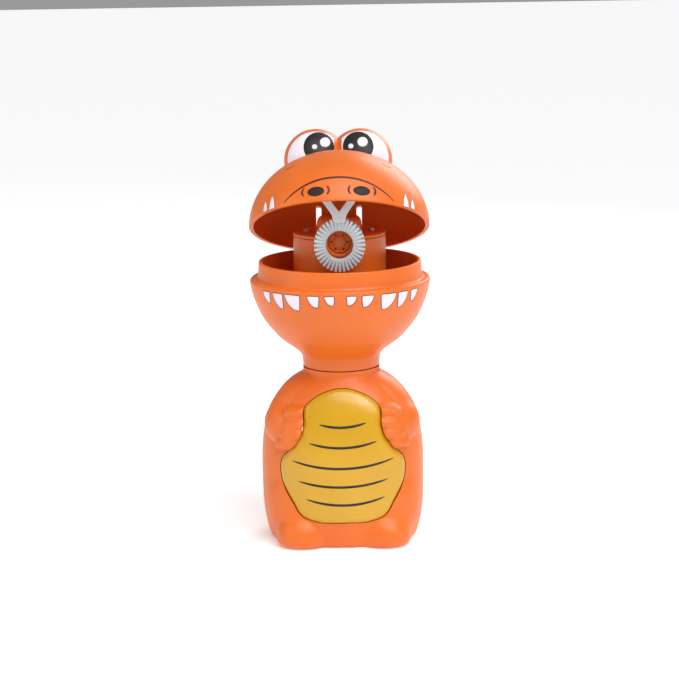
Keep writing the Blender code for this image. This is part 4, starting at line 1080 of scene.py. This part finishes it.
class BUBBLETOY_OT_tower(bpy.types.Operator):
    """Model the air tower, its lid and the nozzle behind the wand"""
    bl_idname = "bubbletoy.tower"
    bl_label = "Air tower"

    def execute(self, context):
        orange = orange_plastic()
        column = soften([(TOWER_R, TOWER_TOP + 0.2), (TOWER_R, 98.0), (16.0, 90.0), (13.4, 84.2),
                         (12.4, 82.1)], 2.0, 5)
        inner = [(11.0, 82.1), (11.9, 84.6), (14.5, 90.4), (17.0, 98.3), (17.0, TOWER_TOP + 0.2)]
        tower = make_piece("tower_column", turned_mesh(column + inner, TOWER_Y, 160), orange)
        join(tower, make_piece("box", block_mesh((-2.9, 2.9), (24.8, 30.0), (92.8, LIP_Z - 1.1), 0.4)))
        cut(tower, make_piece("inside", block_mesh((-2.1, 2.1), (26.25, 29.2), (93.6, 110.0))),
            make_piece("slot", block_mesh((-1.7, 1.7), (22.0, 27.0), (93.6, 104.0))),
            make_piece("nozzle_hole", nozzle_hole()))
        settle(tower)
        rim = soften([(0.0, LID_TOP), (TOWER_R, LID_TOP), (TOWER_R, LID_LOW), (17.2, LID_LOW)], 0.6, 4)
        lid = make_piece("tower_cap", turned_mesh(rim + [(0.0, LID_LOW)], TOWER_Y, 160), orange)
        head = soften([(9.6, 121.8), (9.0, 123.4), (8.8, 128.2), (7.2, 130.0), (0.0, 130.0)], 1.5, 5)
        join(lid, make_piece("head", turned_mesh([(0.0, 121.8)] + head, 0.0, 120)))
        cut(lid, make_piece("hollow", rod_mesh((0, 0.6, 110), (0, 0.6, 128.4), 7.4)),
            make_piece("nozzle_hole", nozzle_hole()))
        settle(lid)
        tube = soften([(6.0, 0.0), (6.0, 10.5), (4.6, 10.5), (4.6, 0.0)], 0.5, 4, True)
        lie = Matrix.Translation((0.0, NOZZLE_TIP_Y, NOZZLE_Z)) @ Matrix.Rotation(-math.pi / 2.0, 4, "X")
        nozzle = make_piece("nozzle_tube", turned_mesh(tube, 0.0, 96), orange, lie)
        settle(nozzle)
        plug = soften([(0.0, 1.2), (2.2, 1.3), (2.5, 1.7), (4.5, 1.9), (4.5, 4.2), (0.0, 4.2)], 0.35, 4)
        diffuser = make_piece("nozzle_diffuser", turned_mesh(plug, 0.0, 96), orange, lie)
        for number in range(6):
            angle = 2.0 * math.pi * number / 6.0
            x, z = 3.25 * math.cos(angle), 3.25 * math.sin(angle) + NOZZLE_Z
            cut(diffuser, make_piece("hole", rod_mesh((x, -14.0, z), (x, -4.0, z), 0.4, 20)))
        settle(diffuser)
        for piece in (tower, lid, nozzle, diffuser):
            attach(piece, "body")
        for piece, node in ((tower, "air_tower"), (lid, "tower_lid"), (nozzle, "air_nozzle")):
            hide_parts(node)
        return {"FINISHED"}


class BUBBLETOY_OT_finishes(bpy.types.Operator):
    """Give every CAD piece that stays visible its finish"""
    bl_idname = "bubbletoy.finishes"
    bl_label = "Inner finishes"

    def execute(self, context):
        finish = {
            "steel": turned_steel("plated_steel"),
            "gear_plastic": moulded_plastic("natural_acetal", (0.74, 0.71, 0.63, 1.0), 0.38, 0.01, 0.04,
                                            0.15),
            "inner_plastic": moulded_plastic("inner_black", (0.035, 0.035, 0.038, 1.0), 0.48, 0.03, 0.12),
            "rubber": moulded_plastic("seal_rubber", (0.045, 0.03, 0.025, 1.0), 0.75, 0.03, 0.1),
            "white_plastic": moulded_plastic("inner_white", (0.78, 0.78, 0.77, 1.0), 0.36, 0.012, 0.03, 0.1),
            "orange_plastic": orange_plastic(),
            "yellow_plastic": yellow_plastic(),
        }
        slots = {entry["node"]: entry["material_slot"] for entry in frame["record"]["subparts"]}
        for node, thing in frame["nodes"].items():
            for place in thing.material_slots:
                place.material = finish[slots[node]]
        return {"FINISHED"}


def area_light(name, place, aim, size, power, colour):
    light = bpy.data.lights.new(name, "AREA")
    light.shape = "DISK"
    light.size = size
    light.energy = power
    light.color = colour
    lamp = bpy.data.objects.new(name, light)
    lamp.location = place
    lamp.rotation_euler = (Vector(aim) - Vector(place)).to_track_quat("-Z", "Y").to_euler()
    bpy.context.scene.collection.objects.link(lamp)


class BUBBLETOY_OT_stage(bpy.types.Operator):
    """Set the pale floor, the soft studio light and the camera"""
    bl_idname = "bubbletoy.stage"
    bl_label = "Stage"

    def execute(self, context):
        bm = bmesh.new()
        bmesh.ops.create_grid(bm, x_segments=1, y_segments=1, size=4000.0)
        pale = moulded_plastic("pale_floor", (0.88, 0.88, 0.88, 1.0), 0.6, 0.0, 0.004)
        shader_of(pale).inputs["Emission Color"].default_value = (1.0, 1.0, 1.0, 1.0)
        shader_of(pale).inputs["Emission Strength"].default_value = 0.25
        floor = make_piece("floor", bm, pale)
        world = bpy.data.worlds.new("studio")
        world.use_nodes = True
        background = world.node_tree.nodes["Background"]
        background.inputs["Color"].default_value = (1.0, 1.0, 1.0, 1.0)
        background.inputs["Strength"].default_value = 0.32
        context.scene.world = world
        context.scene.view_settings.view_transform = "Standard"
        middle = (0.0, 0.0, 0.085)
        area_light("key_light", (0.42, -0.55, 0.62), middle, 0.55, 2.1, (1.0, 0.98, 0.96))
        area_light("side_light", (-0.6, -0.25, 0.30), middle, 0.5, 0.8, (0.98, 0.98, 1.0))
        area_light("rim_light", (0.35, 0.55, 0.45), middle, 0.5, 2.5, (1.0, 1.0, 1.0))
        sky = bpy.data.lights.new("overhead_light", "SUN")
        sky.energy = 1.9
        sky.angle = math.radians(50.0)
        overhead = bpy.data.objects.new("overhead_light", sky)
        overhead.rotation_euler = (math.radians(28.0), math.radians(12.0), 0.0)
        context.scene.collection.objects.link(overhead)
        camera_data = bpy.data.cameras.new("camera")
        distance, view_width, sensor = 0.9, 0.2716, 36.0
        camera_data.lens = sensor * distance / view_width
        camera_data.sensor_width = sensor
        camera_data.clip_start = 0.01
        camera = bpy.data.objects.new("camera", camera_data)
        target = Vector((-0.0006, 0.0, 0.0798))
        camera.location = target + VIEW_BACK * distance
        look = (target - camera.location).to_track_quat("-Z", "Y").to_matrix().to_4x4()
        roll = Matrix.Rotation(math.radians(-0.9), 4, "Z")
        camera.matrix_world = Matrix.Translation(camera.location) @ look @ roll
        context.scene.collection.objects.link(camera)
        context.scene.camera = camera
        return {"FINISHED"}


STEPS = (
    BUBBLETOY_OT_stage, BUBBLETOY_OT_body, BUBBLETOY_OT_plate, BUBBLETOY_OT_bowl, BUBBLETOY_OT_jaw,
    BUBBLETOY_OT_eyes, BUBBLETOY_OT_face, BUBBLETOY_OT_wand, BUBBLETOY_OT_tower, BUBBLETOY_OT_finishes,
)


class BUBBLETOY_PT_panel(bpy.types.Panel):
    """Sizes, colours and the steps that make the toy"""
    bl_idname = "BUBBLETOY_PT_panel"
    bl_label = "Bubble toy"
    bl_space_type = "VIEW_3D"
    bl_region_type = "UI"
    bl_category = "Bubble toy"

    def draw(self, context):
        layout = self.layout
        for group in (context.scene.bubble_toy_sizes, context.scene.bubble_toy_colours):
            for name in group.bl_rna.properties.keys():
                if name not in ("rna_type", "name"):
                    layout.prop(group, name)
        for step in STEPS:
            layout.operator(step.bl_idname)


CLASSES = (BubbleToyColours, BubbleToySizes) + STEPS + (BUBBLETOY_PT_panel,)


def register():
    for item in CLASSES:
        bpy.utils.register_class(item)
    bpy.types.Scene.bubble_toy_colours = bpy.props.PointerProperty(type=BubbleToyColours)
    bpy.types.Scene.bubble_toy_sizes = bpy.props.PointerProperty(type=BubbleToySizes)


def unregister():
    del bpy.types.Scene.bubble_toy_sizes
    del bpy.types.Scene.bubble_toy_colours
    for item in reversed(CLASSES):
        bpy.utils.unregister_class(item)


def main():
    register()
    for step in STEPS:
        group, name = step.bl_idname.split(".")
        getattr(getattr(bpy.ops, group), name)()


if __name__ == "__main__":
    main()
